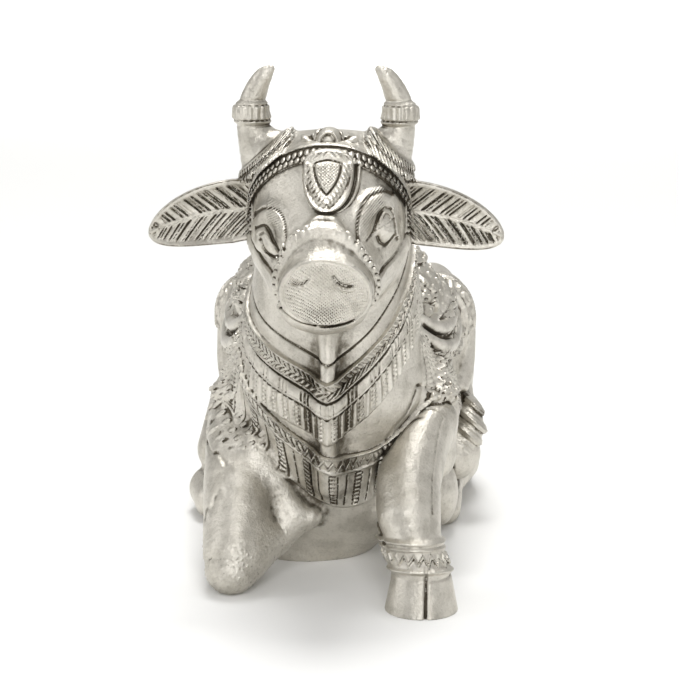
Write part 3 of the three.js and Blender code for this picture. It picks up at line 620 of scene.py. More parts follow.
@dataclass(frozen=True)
class Bridle:
    """Headband, pendant, horn straps, cheek straps and noseband."""

    headband: Flat = (95.2, 98.5)
    brow_radius: float = 17.5
    brow_drop: float = 15.5
    nose_at: Flat = (0.9, 69.7)
    nose_radius: float = 9.2
    plate: Shield = Shield(0.65, 5.25, 94.5, 85.4)
    outer_plate: Shield = Shield(0.65, 6.65, 94.5, 84.9)
    drop: Shield = Shield(0.5, 2.75, 94.2, 88.6, 2.0, 0.8, 1.15)
    strap_foot: Flat = (17.7, 91.6)
    strap_slope: float = 0.9
    cheek: Limb = Limb(
        [(16.2, -37.6, 90.5, 0), (17, -36, 86, 0), (17.2, -35.3, 81, 0), (16.6, -37, 76.5, 0)],
        links=8,
    )
    jaw_strap: Limb = Limb(
        [(16.6, -37.5, 76.5, 0), (14.6, -42, 73, 0), (11.8, -48, 70.6, 0), (9.6, -53.5, 69, 0)],
        links=8,
    )

    def height(self, p: Places, behind_nose: Array) -> Array | float:
        """Raised height of the bridle.

        Args:
            p: The places.
            behind_nose: How far each lies behind the flat of the nose.

        Returns:
            The height at each place.
        """
        if not p.meets((-25, -70, 60), (25, -18, 104)):
            return 0.0
        side = p.folded.x
        temple = p.z + self.brow_drop * (1 - np.sqrt(np.clip(1 - (side / self.brow_radius) ** 2, 0, 1)))
        raised = self.band_round_brow(p, side, temple)
        raised = np.where(p.y < -40, np.maximum(raised, self.pendant(p)), raised)
        return raised + self.horn_strap(p, side) + self.noseband(p, behind_nose) + self.cheek_straps(p)

    def band_round_brow(self, p: Places, side: Array, temple: Array) -> Array:
        """The headband: a bright rim over two rows of beads.

        Args:
            p: The places.
            side: Distance of each place from the middle plane.
            temple: Height of each place, levelled along the headband's curve.

        Returns:
            The height at each place.
        """
        front = 1 - smoothstep(p.y, -36, -31)
        arc = np.sign(p.x) * self.brow_radius * np.arcsin(np.clip(side / self.brow_radius, 0, 1))
        low, high = self.headband
        under = smoothstep(temple, low - 0.3, low + 0.3)
        plate = 0.5 * under * (1 - smoothstep(temple, high - 0.7, high + 1.2))
        plate = plate + 0.75 * bump(temple - 98.0, 0.55)
        rows = beads(arc, temple - 96.7, 1.35, 0.6) + beads(arc + 0.65, temple - 95.6, 1.35, 0.55)
        worked = plate + 0.6 * rows + 0.2 * bump(temple - 95.1, 0.28) - 0.15 * bump(temple - 99.1, 0.4)
        return front * worked

    def pendant(self, p: Places) -> Array:
        """A shield with a hatched drop on it, and a second rim on the bull's left.

        Args:
            p: The places.

        Returns:
            The height at each place.
        """
        edge, drop = self.plate.outside(p), self.drop.outside(p)
        plate = 1.1 * (1 - smoothstep(edge, -0.3, 0.3)) + 0.25 * bump(edge + 0.5, 0.28)
        hatch = ridges(p.x + 1.2 * p.z, 0.75) * ridges(p.x - 1.2 * p.z, 0.75)
        filled = 1 - smoothstep(drop, -0.5, -0.2)
        across = np.abs(p.x - self.plate.at)
        strokes = ridges(0.75 * p.z + 0.75 * across, 0.95) * bump(drop - 1.3, 0.55) * (edge < -0.7)
        plate = plate + 0.25 * filled * hatch - 0.36 * bump(drop, 0.2) + 0.34 * strokes
        plate = plate - 0.25 * bump(drop - 2.1, 0.2) * (edge < -0.5)
        rim = 0.85 * (1 - smoothstep(self.outer_plate.outside(p), -0.25, 0.25)) * smoothstep(edge, 0.3, 0.6)
        return np.maximum(plate, rim * (p.x > 0)) - 0.45 * bump(edge - 0.5, 0.3) * (p.z < 94)

    def horn_strap(self, p: Places, side: Array) -> Array:
        """Two rows of beads and a fine rope round the foot of each horn.

        Args:
            p: The places.
            side: Distance of each place from the middle plane.

        Returns:
            The height at each place.
        """
        strap = p.z - self.strap_foot[1] - self.strap_slope * (self.strap_foot[0] - side)
        along = side * 1.1 - p.z * 0.6 + p.y * 0.6
        inner = smoothstep(side, 7, 8.6)
        edges = bump(strap + 1.55, 0.22) + bump(strap - 0.1, 0.3)
        plate = 0.45 * band(strap, -3.2, 0.2, 0.5) + 0.35 * edges
        rows = beads(along, strap + 0.75, 1.4, 0.66) + beads(along + 0.7, strap + 2.3, 1.4, 0.6)
        rope = 0.35 * bump(strap + 3.3, 0.35) * ridges(along + strap, 0.9)
        return (plate + 0.65 * rows + rope) * inner

    def noseband(self, p: Places, behind_nose: Array) -> Array:
        """Two rows of beads round the muzzle that give way to a smooth roll over the nose.

        Args:
            p: The places.
            behind_nose: How far each lies behind the flat of the nose.

        Returns:
            The height at each place.
        """
        along = np.arctan2(p.z - self.nose_at[1], p.x - self.nose_at[0]) * self.nose_radius
        over = smoothstep(np.abs(p.x - self.nose_at[0]), 3, 4.2)
        roll = 0.3 * (1 - over) * band(behind_nose, 4.8, 7, 1) * (p.z > 70)
        plate = 0.5 * band(behind_nose, 4.4, 7.2, 0.6) + roll
        rows = beads(along, behind_nose - 5.15, 1.3, 0.6) + beads(along + 0.65, behind_nose - 6.35, 1.3, 0.55)
        return (plate + 0.6 * rows * np.where(p.z > 70, over, 1)) * smoothstep(p.z, 63.5, 66.5)

    def cheek_straps(self, p: Places) -> Array | float:
        """A beaded strap in front of each ear and a plain one from it to the muzzle.

        Args:
            p: The places.

        Returns:
            The height at each place.
        """
        gap = self.cheek.distance(p.folded)
        beaded = (1 - smoothstep(gap, 1.1, 1.5)) * 0.3 + 0.5 * beads(p.z, gap, 1.25, 0.95)
        lower = self.jaw_strap.distance(p.folded)
        plain = 0.55 * (1 - smoothstep(lower, 1.1, 1.6)) - 0.35 * bump(lower - 1.8, 0.3)
        return beaded * (p.y < -30) + plain * (p.y < -36)


@dataclass(frozen=True)
class Head:
    """Skull, face, muzzle, eyes and brows."""

    cranium: Ellipsoid = Ellipsoid((0, -33, 87), (16.5, 14, 11.9))
    face: Limb = Limb([(0, -38, 83.5, 13.2), (0, -52, 74.5, 9)])
    jaw: Limb = Limb([(4.5, -36, 75, 12.2), (2, -50, 67, 7.4)])
    chin: Ellipsoid = Ellipsoid((0, -52.5, 65.3), (9.4, 7.5, 5.8), -12)
    muzzle_at: Point = (0.9, -61.3, 69.7)
    muzzle_radii: Flat = (9.7, 7.9)
    muzzle_length: float = 13.0
    muzzle_tilt: float = 10.0
    eye: Ellipsoid = Ellipsoid((11.6, -45.6, 79.4), (3.4, 3.3, 2.6), 10)
    lid: Ellipsoid = Ellipsoid((11.8, -44.3, 82.6), (2.7, 2.6, 2.8))
    brow: Limb = Limb(
        [
            (14.4, -40.5, 79.6, 1),
            (13.6, -42.2, 83.4, 1.6),
            (10.9, -45.8, 86, 1.7),
            (8.2, -49.4, 84.4, 1.6),
            (7.3, -52, 80.4, 1),
        ],
        links=8,
    )
    left_brow_raise: float = 1.0
    right_brow_raise: float = -1.8
    crest: Ellipsoid = Ellipsoid((0, -39.5, 98.6), (3.7, 3.6, 2.4))
    petal: Ellipsoid = Ellipsoid((4.6, -39.8, 97.7), (1.9, 1.6, 1.8))
    nose_roll: Limb = Limb(
        [
            (-6.8, -56.8, 79, 0.8),
            (-3.5, -57.2, 81, 1.2),
            (0, -57.3, 81.7, 1.3),
            (3.5, -57.2, 81, 1.2),
            (6.8, -56.8, 79, 0.8),
        ],
        links=6,
    )
    nose_arch: Limb = Limb(
        [
            (-2.4, -56, 82.7, 0.2),
            (-1.5, -55.4, 83.7, 0.5),
            (0.3, -55.1, 84.2, 0.6),
            (2.1, -55.3, 83.8, 0.5),
            (3, -55.6, 82.8, 0.2),
        ],
        links=8,
    )
    bridle: Bridle = Bridle()
    lines: tuple[ChasedLine, ...] = (
        ChasedLine(
            [
                (-15.3, 82.3), (-13.9, 83.9), (-12.1, 84.9), (-10, 84.9), (-8.7, 84), (-8, 82.3),
                (-7.7, 80.2), (-7.6, 78),
            ],
            width=0.36, depth=0.42,
        ),
        ChasedLine(
            [(-14.6, 80.4), (-12.7, 81.3), (-11.5, 80.1), (-10.6, 78.4), (-9, 76.9)],
            width=0.28, depth=0.36,
        ),
        ChasedLine(
            [(-14.2, 79.7), (-12.7, 80.3), (-11.8, 79.1), (-10.9, 77.5), (-9.3, 76.3)],
            width=0.36, depth=-0.32,
        ),
        ChasedLine(
            [(-13.4, 78.4), (-12.7, 76.9), (-11.8, 75.6), (-10.4, 75.1), (-9.1, 75.9)],
            width=0.36, depth=0.5,
        ),
        ChasedLine(
            [(6.9, 79.8), (6.8, 82.9), (7.3, 85.1), (8.3, 87.1), (10.1, 88.2), (11.9, 88.4), (13.5, 87.6)],
            width=0.36, depth=0.42,
        ),
        ChasedLine(
            [(8.7, 79.3), (9.8, 80.5), (10.5, 82.4), (11.3, 84.6), (12.3, 85.3), (13.5, 84.9)],
            width=0.28, depth=0.24,
        ),
        ChasedLine([(10.3, 80.8), (11.3, 81.4), (12.4, 81.9), (13.7, 82.7)], width=0.3, depth=0.1),
        ChasedLine(
            [(11.3, 82.6), (11.7, 83.7), (12.3, 84.4), (13.2, 84.1), (13.7, 83.2)],
            width=0.3, depth=-0.35,
        ),
        ChasedLine(
            [(10.7, 79.6), (11.2, 78.2), (12.2, 77.5), (13.2, 78.4), (14, 79.6)],
            width=0.36, depth=0.34,
        ),
        ChasedLine([(13.9, 84.9), (14.7, 82.1), (15.1, 77.6)], width=0.3, depth=-0.3),
        ChasedLine(
            [(-6, 72.7), (-5, 72.1), (-3.7, 72.1), (-2.7, 72.8)],
            width=0.32, depth=0.32, behind=-58.0,
        ),
        ChasedLine([(-6, 71.8), (-4.9, 71.3), (-3.6, 71.4)], width=0.4, depth=-0.25, behind=-58.0),
        ChasedLine(
            [(2.6, 73.6), (3.4, 72.5), (4.6, 71.8), (6.2, 71.6)],
            width=0.34, depth=0.4, behind=-58.0,
        ),
        ChasedLine([(3, 71.8), (4.4, 71), (6.2, 70.8)], width=0.42, depth=-0.4, behind=-58.0),
        ChasedLine(
            [(-8.3, 65.7), (-6.5, 64.5), (-4, 63.3), (-1.4, 62.7)],
            width=0.35, depth=0.7, behind=-50.0,
        ),
        ChasedLine(
            [(-1.4, 62.7), (1.6, 62.9), (4.1, 63.4), (6.7, 64.3)],
            width=0.28, depth=0.3, behind=-50.0,
        ),
    )

    def muzzle_frame(self, p: Places) -> tuple[Array, Array, Array]:
        """How far a place lies in front of the nose's flat, its share of the oval, and its height on it.

        Args:
            p: The places.

        Returns:
            The three measures of each place.
        """
        c, s = math.cos(math.radians(self.muzzle_tilt)), math.sin(math.radians(self.muzzle_tilt))
        dy, dz = p.y - self.muzzle_at[1], p.z - self.muzzle_at[2]
        up = dz * c - dy * s
        across = (p.x - self.muzzle_at[0]) / self.muzzle_radii[0]
        oval = np.sqrt(across**2 + (up / self.muzzle_radii[1]) ** 2)
        return -dy * c - dz * s, oval, up

    def distance(self, p: Places, horns: Array, ears: Array) -> Array:
        """Distance from the surface of the head with its horns and ears.

        Args:
            p: The places.
            horns: Their distance from the horns.
            ears: Their distance from the ears.

        Returns:
            The distance at each place.
        """
        if not p.meets((-60, -80, 48), (60, -4, 125)):
            return p.full(FAR)
        out, oval, up = self.muzzle_frame(p)
        raised = np.where(p.x > 0, np.float32(self.left_brow_raise), np.float32(self.right_brow_raise))
        brows = p.folded.lowered(raised)
        d = blend(self.cranium.distance(p), self.face.distance(p), 6)
        d = blend(d, self.jaw.distance(p.folded), 4)
        d = blend(d, horns, 2.5)
        length = self.muzzle_length / 2
        drum = blend_cut((oval - 1) * self.muzzle_radii[1], np.abs(out + length) - length, 1.5)
        d = blend(d, drum - self.nose_hatching(p, out, oval, up), 2.5)
        d = seam(d, self.chin.distance(p), 0.5, 0.9) - self.bridle.height(p, -out)
        d = blend(d, self.lid.distance(brows), 2.5)
        d = blend(d, self.eye.distance(brows), 1.8)
        brow = self.brow.distance(brows)
        d = blend(d, brow, 2.6) - self.comb(p, brow)
        carving = self.crest_carving(p)
        d = blend(d, self.petal.distance(p.astride(-0.3)) - carving, 0.8)
        d = blend(d, self.crest.distance(p) - carving, 0.4)
        d = blend(d, self.nose_roll.distance(p), 2.2)
        d = blend(d, self.nose_arch.distance(p), 2.2)
        for line in self.lines:
            d = d + line.cut(p)
        return blend(d, ears, 1.5)

    def nose_hatching(self, p: Places, out: Array, oval: Array, up: Array) -> Array:
        """Fine cross-hatching over the flat of the nose, inside a chased rim.

        Args:
            p: The places.
            out: How far each lies in front of the nose's flat.
            oval: Its share of the nose's oval.
            up: Its height on the nose's flat.

        Returns:
            The height at each place.
        """
        inside = (1 - smoothstep(oval, 0.82, 0.87)) * smoothstep(out, -1.5, -0.6)
        across = p.x - self.muzzle_at[0]
        curl = up + 0.05 * across * across
        hatch = ridges(across + curl, 0.78) * ridges(across - 1.2 * curl, 0.78)
        rim = 0.2 * bump(oval - 0.94, 0.035) - 0.06 * bump(oval - 0.885, 0.018)
        return 0.22 * inside * hatch + rim * smoothstep(out, -1.5, -0.6)

    def comb(self, p: Places, brow: Array) -> Array | float:
        """Combed strokes across the brows.

        Args:
            p: The places.
            brow: Their distance from the brow.

        Returns:
            The height at each place.
        """
        if not p.meets((-17, -60, 72), (17, -36, 92)):
            return 0.0
        where = (1 - smoothstep(brow, 0.4, 1.2)) * (p.y < -39)
        left = ridges(p.x - 0.9 * p.z, 0.62)
        right = ridges(p.x - 1.6 * p.z, 0.85)
        return 0.15 * where * np.where(p.x > 0, left, right) * (p.folded.x < 12.2)

    def crest_carving(self, p: Places) -> Array | float:
        """A small arch on the crest with a petal on each side.

        Args:
            p: The places.

        Returns:
            The height at each place.
        """
        if not p.meets((-7.5, -46, 93), (8, -34, 104)):
            return 0.0
        r = np.sqrt((p.x - 0.3) ** 2 + (p.z - 98.4) ** 2)
        arch = 0.5 * bump(r - 1.9, 0.35) * (p.z > 97.6)
        arch = arch - 0.2 * bump(r - 1.2, 0.25) - 0.3 * bump(r - 2.7, 0.25)
        veins = 0.4 * ridges(np.arctan2(p.z - 96.5, p.x - 0.3) * 5, 1.3) * smoothstep(r, 2.9, 3.3)
        return arch - veins + 0.4 * bump(p.z - 97.7, 0.35) * band(p.x, -1.9, 2.5, 0.5)


@dataclass(frozen=True)
class Horns:
    """Two horns on the poll, each with a fluted ring and a knob on its outer side."""

    poll: Limb = Limb([(0, -30, 93.9, 4.7), (9.5, -29, 93.9, 4.7)])
    horn: Limb = Limb(
        [
            (12, -28, 87, 5.6),
            (13.8, -28, 93, 4.6),
            (15.3, -28, 98, 3.7),
            (16, -28.5, 103, 3),
            (14.8, -29.5, 107.3, 2.5),
            (13.1, -30.5, 110.5, 1.9),
            (11.5, -31, 112.1, 0.9),
        ],
        links=18,
    )
    axis: Flat = (15.8, -28.0)
    ring: Flat = (100.4, 104.9)
    flutes: int = 18
    knob: Ellipsoid = Ellipsoid((17.4, -29.4, 102.8), (2.2, 2.6, 2.2))

    def distance(self, p: Places) -> Array:
        """Distance from the surface of the poll and the nearer horn.

        Args:
            p: The places.

        Returns:
            The distance at each place.
        """
        if not p.meets((-40, -60, 70), (40, -4, 130)):
            return p.full(FAR)
        astride = p.astride(POLL_SHIFT)
        turn = np.arctan2(astride.x - self.axis[0], self.axis[1] - p.y)
        flutes = 0.3 * ridges(turn, 2 * math.pi / self.flutes) * band(p.z, 101.3, 104.2, 0.5)
        ring = 0.7 * band(p.z, *self.ring) - 0.3 * (bump(p.z - 101.1, 0.22) + bump(p.z - 104.4, 0.22))
        ring = ring - 0.12 * (bump(p.z - 99.8, 0.22) + bump(p.z - 105.5, 0.22))
        horn = self.horn.distance(astride) - ring - flutes
        ringed = blend(horn, self.knob.distance(astride) - 0.5 * flutes, 0.8)
        return blend(self.poll.distance(astride), ringed, 3)


@dataclass(frozen=True)
class Ears:
    """Two leaves that stand out sideways, hollow in front, chased with a vein and barbs."""

    root: Point = (13.5, -31, 82.2)
    length: float = 24.9
    drop: float = 5.6
    half_width: float = 7.0
    wall: float = 1.4
    hollow: float = 3.0
    barb_pitch: float = 1.3

    def distance(self, p: Places) -> Array:
        """Distance from the surface of the nearer ear.

        Args:
            p: The places.

        Returns:
            The distance at each place.
        """
        if not p.meets((-60, -60, 50), (60, -10, 110)):
            return p.full(FAR)
        side = p.astride(POLL_SHIFT).x
        along = (side - self.root[0]) / self.length
        across = p.z - self.root[2] + self.drop * along * along
        front = -(p.y - self.root[1])
        t = np.clip(along, 0, 1)
        width = self.half_width * np.sqrt(1 - t**3) * (0.88 + 0.12 * np.minimum(1, t * 4))
        width = np.maximum(width, 0.2)
        dish = front - self.hollow * ((across / self.half_width) ** 2 - 0.5)
        dish = dish - 0.5 * bump(across, 0.7)
        rim = np.maximum(np.abs(across) - width, np.maximum((along - 1), -(along + 0.2)) * self.length)
        shell = blend_cut(rim, np.abs(dish) - self.wall, 1.4)
        return shell + self.barbs(along, across, width, dish)

    def barbs(self, along: Array, across: Array, width: Array, dish: Array) -> Array:
        """Depth of the vein and of the barbs that run from it towards the rim.

        Args:
            along: Share of the ear's length at which each place lies.
            across: Height of each place above the vein.
            width: Half the ear's width there.
            dish: How far each place lies in front of the leaf's middle.

        Returns:
            The depth at each place.
        """
        away = np.abs(across)
        slant = 0.75 + 0.5 * (1 - np.clip(along, 0, 1))
        offset = np.where(across > 0, np.float32(0), np.float32(0.5))
        phase = (along * self.length - slant * away) / self.barb_pitch + offset
        phase = phase + 0.24 * np.sin(2.1 * phase + 7 * offset) + 0.1 * np.sin(5.3 * phase)
        cut = bump((phase - np.round(phase)) * self.barb_pitch, 0.24) * (0.8 + 0.35 * np.sin(phase * 2.7))
        inside = smoothstep(dish, 0.3, 1.0)
        where = inside * smoothstep(away, 0.15, 0.7) * (1 - smoothstep(away - width, -1.7, -1.0))
        vein = bump(across, 0.3) * inside * (along < 0.9)
        return 0.6 * cut * where + 0.4 * vein


# Legs


@dataclass(frozen=True)
class Forelegs:
    """The left foreleg set forward on its hoof, and the right one folded on its knee."""

    planted: Limb = Limb(
        [
            (21.2, -20, 33, 6.7),
            (18.8, -27, 28.3, 6.9),
            (17, -36, 22, 7.2),
            (17.5, -43, 16.5, 7),
            (19.1, -48.5, 11.5, 5.8),
            (20, -50.2, 8, 5.4),
        ],
    )
    anklet: Flat = (8.6, 14.6)
    anklet_slope: float = 0.16
    anklet_axis: Flat = (20.0, -49.0)
    anklet_radius: float = 7.0
    zigzag_pitch: float = 2.3
    hoof_at: Point = (20.6, -52.2, 0)
    hoof_radii: Flat = (7.6, 7)
    hoof_height: float = 9.6
    cleft_at: float = 21.6
    arm: Limb = Limb(
        [(-19.6, -16, 30, 9.6), (-20.4, -29, 20, 8.2), (-20.3, -41.4, 8.2, 7), (-20.9, -43.9, 5.2, 5.7)],
    )
    shank: Limb = Limb([(-19, -39, 7, 6.2), (-12.5, -33, 9.5, 4.6), (-8.5, -32, 12, 3.4)])
    folded_hoof: Limb = Limb([(-10, -31, 14.5, 3.2), (-4.6, -31.5, 13.4, 2.6)])
    fold: Limb = Limb([(-17.5, -29, 29.5, 2.6), (-12, -31, 22, 2.6), (-9.6, -30.5, 17, 2.8)])

    def hoof(self, p: Places) -> Array:
        """The planted hoof: wider at the ground than at the top, cloven in front.

        Args:
            p: The places.

        Returns:
            The distance at each place.
        """
        share = p.z / self.hoof_height
        flare = 1.03 - 0.26 * np.clip(share, 0, 1)
        u = (p.x - self.hoof_at[0]) / (self.hoof_radii[0] * flare)
        v = (p.y - self.hoof_at[1] - 1.6 * share) / (self.hoof_radii[1] * flare)
        wall = (np.sqrt(u * u + v * v) - 1) * self.hoof_radii[0]
        cleft = 0.8 * bump(p.x - self.cleft_at, 0.33) * (p.y < self.hoof_at[1])
        coronet = 0.25 * bump(p.z - 7.6, 0.35)
        return blend_cut(wall, p.z - self.hoof_height, 3) + cleft + coronet

    def planted_leg(self, p: Places) -> Array:
        """Distance from the planted leg with its anklet.

        Args:
            p: The places.

        Returns:
            The distance at each place.
        """
        if not p.meets((0, -80, -10), (40, 0, 55)):
            return p.full(FAR)
        level = p.z + self.anklet_slope * (p.y - self.hoof_at[1])
        low, high = self.anklet
        rims = bump(level - low, 0.5) + bump(level - high, 0.45) + 0.6 * bump(level - high + 1.4, 0.35)
        along = np.arctan2(p.x - self.anklet_axis[0], self.anklet_axis[1] - p.y) * self.anklet_radius
        wave = np.abs(along / self.zigzag_pitch - np.round(along / self.zigzag_pitch)) * 4 - 1
        zigzag = 0.6 * bump(level - 11.1 - 0.9 * wave, 0.4) * band(level, 9.4, 12.7, 0.4)
        anklet = 0.45 * band(level, low, high, 0.7) + 0.7 * rims + zigzag
        return blend(self.planted.distance(p), self.hoof(p), 1.5) - anklet * (p.y < -36)

    def folded_leg(self, p: Places) -> Array:
        """Distance from the folded leg.

        Args:
            p: The places.

        Returns:
            The distance at each place.
        """
        if not p.meets((-45, -80, -10), (12, 10, 60)):
            return p.full(FAR)
        d = blend(self.arm.distance(p), self.shank.distance(p), 3)
        d = blend(d, self.folded_hoof.distance(p), 3)
        d = blend(d, self.fold.distance(p), 4)
        cap = smoothstep(p.z, 28, 31) * (p.y < -8)
        knee = 1 - smoothstep(p.z, 9, 14)
        return d - 0.6 * cap * stipple(p, 2.6) - 0.14 * knee * stipple(p, 1.3)


@dataclass(frozen=True)
class Hindquarters:
    """Hind legs folded beside the belly, the tail, and a padded strap on each thigh."""

    shift: float = 1.1
    stifle: Limb = Limb([(24, 28, 24, 8.9), (27.7, 14, 15.5, 6.8)])
    foot: Limb = Limb(
        [
            (25.5, 45, 7.5, 6),
            (27.5, 33, 7.8, 5.8),
            (24.7, 22, 5.6, 4.6),
            (24.9, 13, 4.6, 4.2),
            (24.6, 7, 3.6, 4.2),
        ],
    )
    far_foot: Limb = Limb(
        [
            (-25.5, 45, 7.5, 6),
            (-27.5, 34, 7, 5.8),
            (-29.8, 22, 6.2, 5.2),
            (-32.1, 13, 5.7, 5.5),
            (-31, 7, 4.6, 4.6),
        ],
    )
    strap: Limb = Limb(
        [
            (27.5, 26, 50.5, 1.4),
            (29.4, 27, 45.5, 1.8),
            (29.9, 25.5, 39.5, 1.9),
            (29.6, 23, 34, 1.9),
            (28.8, 20.5, 30.5, 1.7),
        ],
        links=8,
    )
    knob: Limb = Limb([(26, 28.5, 51.6, 1.7), (28.4, 25, 49.8, 1.9)])
    tassel: Limb = Limb([(25.5, -19.5, 38.5, 2.4), (22.2, -22.5, 38.6, 2.2)])
    fringe: Ellipsoid = Ellipsoid((23.5, 1, 9.5), (4.6, 7.5, 8.2))
    tail: Limb = Limb(
        [
            (0, 53, 53, 3),
            (4, 60.5, 43, 2.9),
            (11, 61, 31, 2.6),
            (19, 57, 20, 2.4),
            (27, 49, 14, 2.3),
            (31, 38, 14.5, 2.3),
            (31.2, 29, 19.6, 2.4),
            (30.4, 23, 24.6, 2.4),
        ],
        links=24,
    )
    tuft: Limb = Limb(
        [(30.4, 23, 25.6, 2.4), (30.7, 17.5, 24.4, 3.1), (31.1, 13.5, 21.2, 3.4), (29.6, 10.5, 18.4, 1.6)],
        links=8,
    )
    tuft_roll: float = 3.4

    def distance(self, p: Places) -> Array:
        """Distance from the hind legs, straps and tail.

        Args:
            p: The places.

        Returns:
            The distance at each place.
        """
        if not p.meets((-50, -20, -10), (50, 80, 75)):
            return p.full(FAR)
        feet = np.minimum(self.foot.distance(p), self.far_foot.distance(p))
        d = blend(self.stifle.distance(p.astride(self.shift)), feet, 2)
        d = blend(d, self.strap.distance(p.folded), 0.8)
        d = blend(d, self.knob.distance(p.folded), 0.5)
        roll = 0.78 * p.z + 0.62 * p.x + 0.2 * p.y
        hairs = 0.16 * ridges(roll, self.tuft_roll / 4)
        tuft = self.tuft.distance(p) - 0.45 * np.cos(roll * (2 * math.pi / self.tuft_roll)) - hairs
        return blend(d, blend(self.tail.distance(p), tuft, 1), 1)


class Bull:
    """The whole casting as one field."""

    def __init__(self) -> None:
        """Makes the sub-assemblies in their canon sizes."""
        self.trunk, self.neckwear, self.cloth = Trunk(), Neckwear(), SaddleCloth()
        self.head, self.horns, self.ears = Head(), Horns(), Ears()
        self.forelegs, self.hindquarters = Forelegs(), Hindquarters()
        self.lines = (
            ChasedLine(
                [
                    (18.7, 42.5), (17.7, 39.5), (16.1, 36.1), (13.6, 33.5), (11.7, 30.3), (10.7, 26.9),
                    (9.9, 22.5),
                ],
                width=0.4, depth=0.3, behind=-22.0,
            ),
            ChasedLine(
                [(9.9, 22.5), (10, 18.6), (11.2, 15.8), (12.9, 13)],
                width=0.42, depth=0.5, behind=-22.0,
            ),
            ChasedLine([(18.7, 42.5), (21.5, 41), (24.3, 39.7)], width=0.36, depth=0.4, behind=-22.0),
            ChasedLine(
                [(25.5, 36.5), (24.1, 33.9), (23.3, 31.1), (22.7, 27.1), (22.4, 24.9), (22.6, 19.3)],
                width=0.36, depth=0.2, behind=-26.0,
            ),
            ChasedLine(
                [(-28.4, 27.6), (-26.5, 26.7), (-25, 27.1), (-23.2, 25.8)],
                width=0.45, depth=0.5, behind=-22.0,
            ),
            ChasedLine(
                [(-23.4, 20.5), (-24.5, 19.6), (-25.2, 17.4), (-26.6, 16.4), (-27, 14.6)],
                width=0.7, depth=0.3, behind=-22.0,
            ),
        )

    def distance(self, p: Places) -> Array:
        """Distance of each place from the casting's surface, cut flat at the ground.

        Args:
            p: The places.

        Returns:
            The distance at each place.
        """
        d = self.trunk.distance(p) - self.neckwear.height(p) - self.cloth.height(p)
        d = blend(d, self.head.distance(p, self.horns.distance(p), self.ears.distance(p)), 3.5)
        for swag in self.cloth.swags:
            d = blend(d, swag.distance(p.folded), 0.7)
        d = blend(d, self.hindquarters.distance(p), 2)
        d = blend(d, self.hindquarters.fringe.distance(p), 1.5)
        d = blend(d, self.hindquarters.tassel.distance(p.folded) - 0.5 * stipple(p, 1.9), 1)
        d = seam(d, self.forelegs.planted_leg(p), 0.6, 1.1)
        d = blend(d, self.forelegs.folded_leg(p), 2)
        for line in self.lines:
            d = d + line.cut(p)
        return np.maximum(d, -p.z)


# Regions of the casting that are meshed one by one

HEAD_FOOT = (-45.0, 54.0)  # y and z of a place on the sloping border below the head
NECK_END = -14.0  # y where the neck and forelegs end and the saddle begins
SADDLE_END = 17.0  # y where the saddle ends and the hindquarters begin


class Region(Enum):
    """Where one mesh of the casting ends and the next begins."""

    HEAD = "bull_head"
    MUZZLE = "bull_muzzle"
    HORNS_AND_EARS = "bull_horns_and_ears"
    NECK = "bull_neck"
    FORELEGS = "bull_forelegs"
    SADDLE = "bull_saddle"
    HINDQUARTERS = "bull_hindquarters"

    def cut(self, p: Places) -> Array:
        """How far each place lies outside the region, negative inside.

        Args:
            p: The places.

        Returns:
            The distance at each place.
        """
        side = p.folded.x
        above = 0.781 * (p.z - HEAD_FOOT[1]) - 0.625 * (p.y - HEAD_FOOT[0])
        tips = np.minimum(np.maximum(16.4 - side, p.z - 91.5), 92.0 + 0.9 * (17.7 - side) - p.z)
        legs = np.minimum(np.maximum(10.5 - side, p.z - 38), p.z - 15)
        behind_nose = 0.985 * (p.y + 61.3) + 0.174 * (p.z - 69.7) - 4.2
        if self is Region.HEAD:
            return np.maximum(np.maximum(-above, -tips), -behind_nose)
        if self is Region.MUZZLE:
            return np.maximum(-above, behind_nose)
        if self is Region.HORNS_AND_EARS:
            return np.maximum(-above, tips)
        if self is Region.NECK:
            return np.maximum(np.maximum(above, p.y - NECK_END), -legs)
        if self is Region.FORELEGS:
            return np.maximum(np.maximum(above, p.y - NECK_END), legs)
        if self is Region.SADDLE:
            return np.maximum(np.maximum(above, NECK_END - p.y), p.y - SADDLE_END)
        return np.maximum(above, SADDLE_END - p.y)


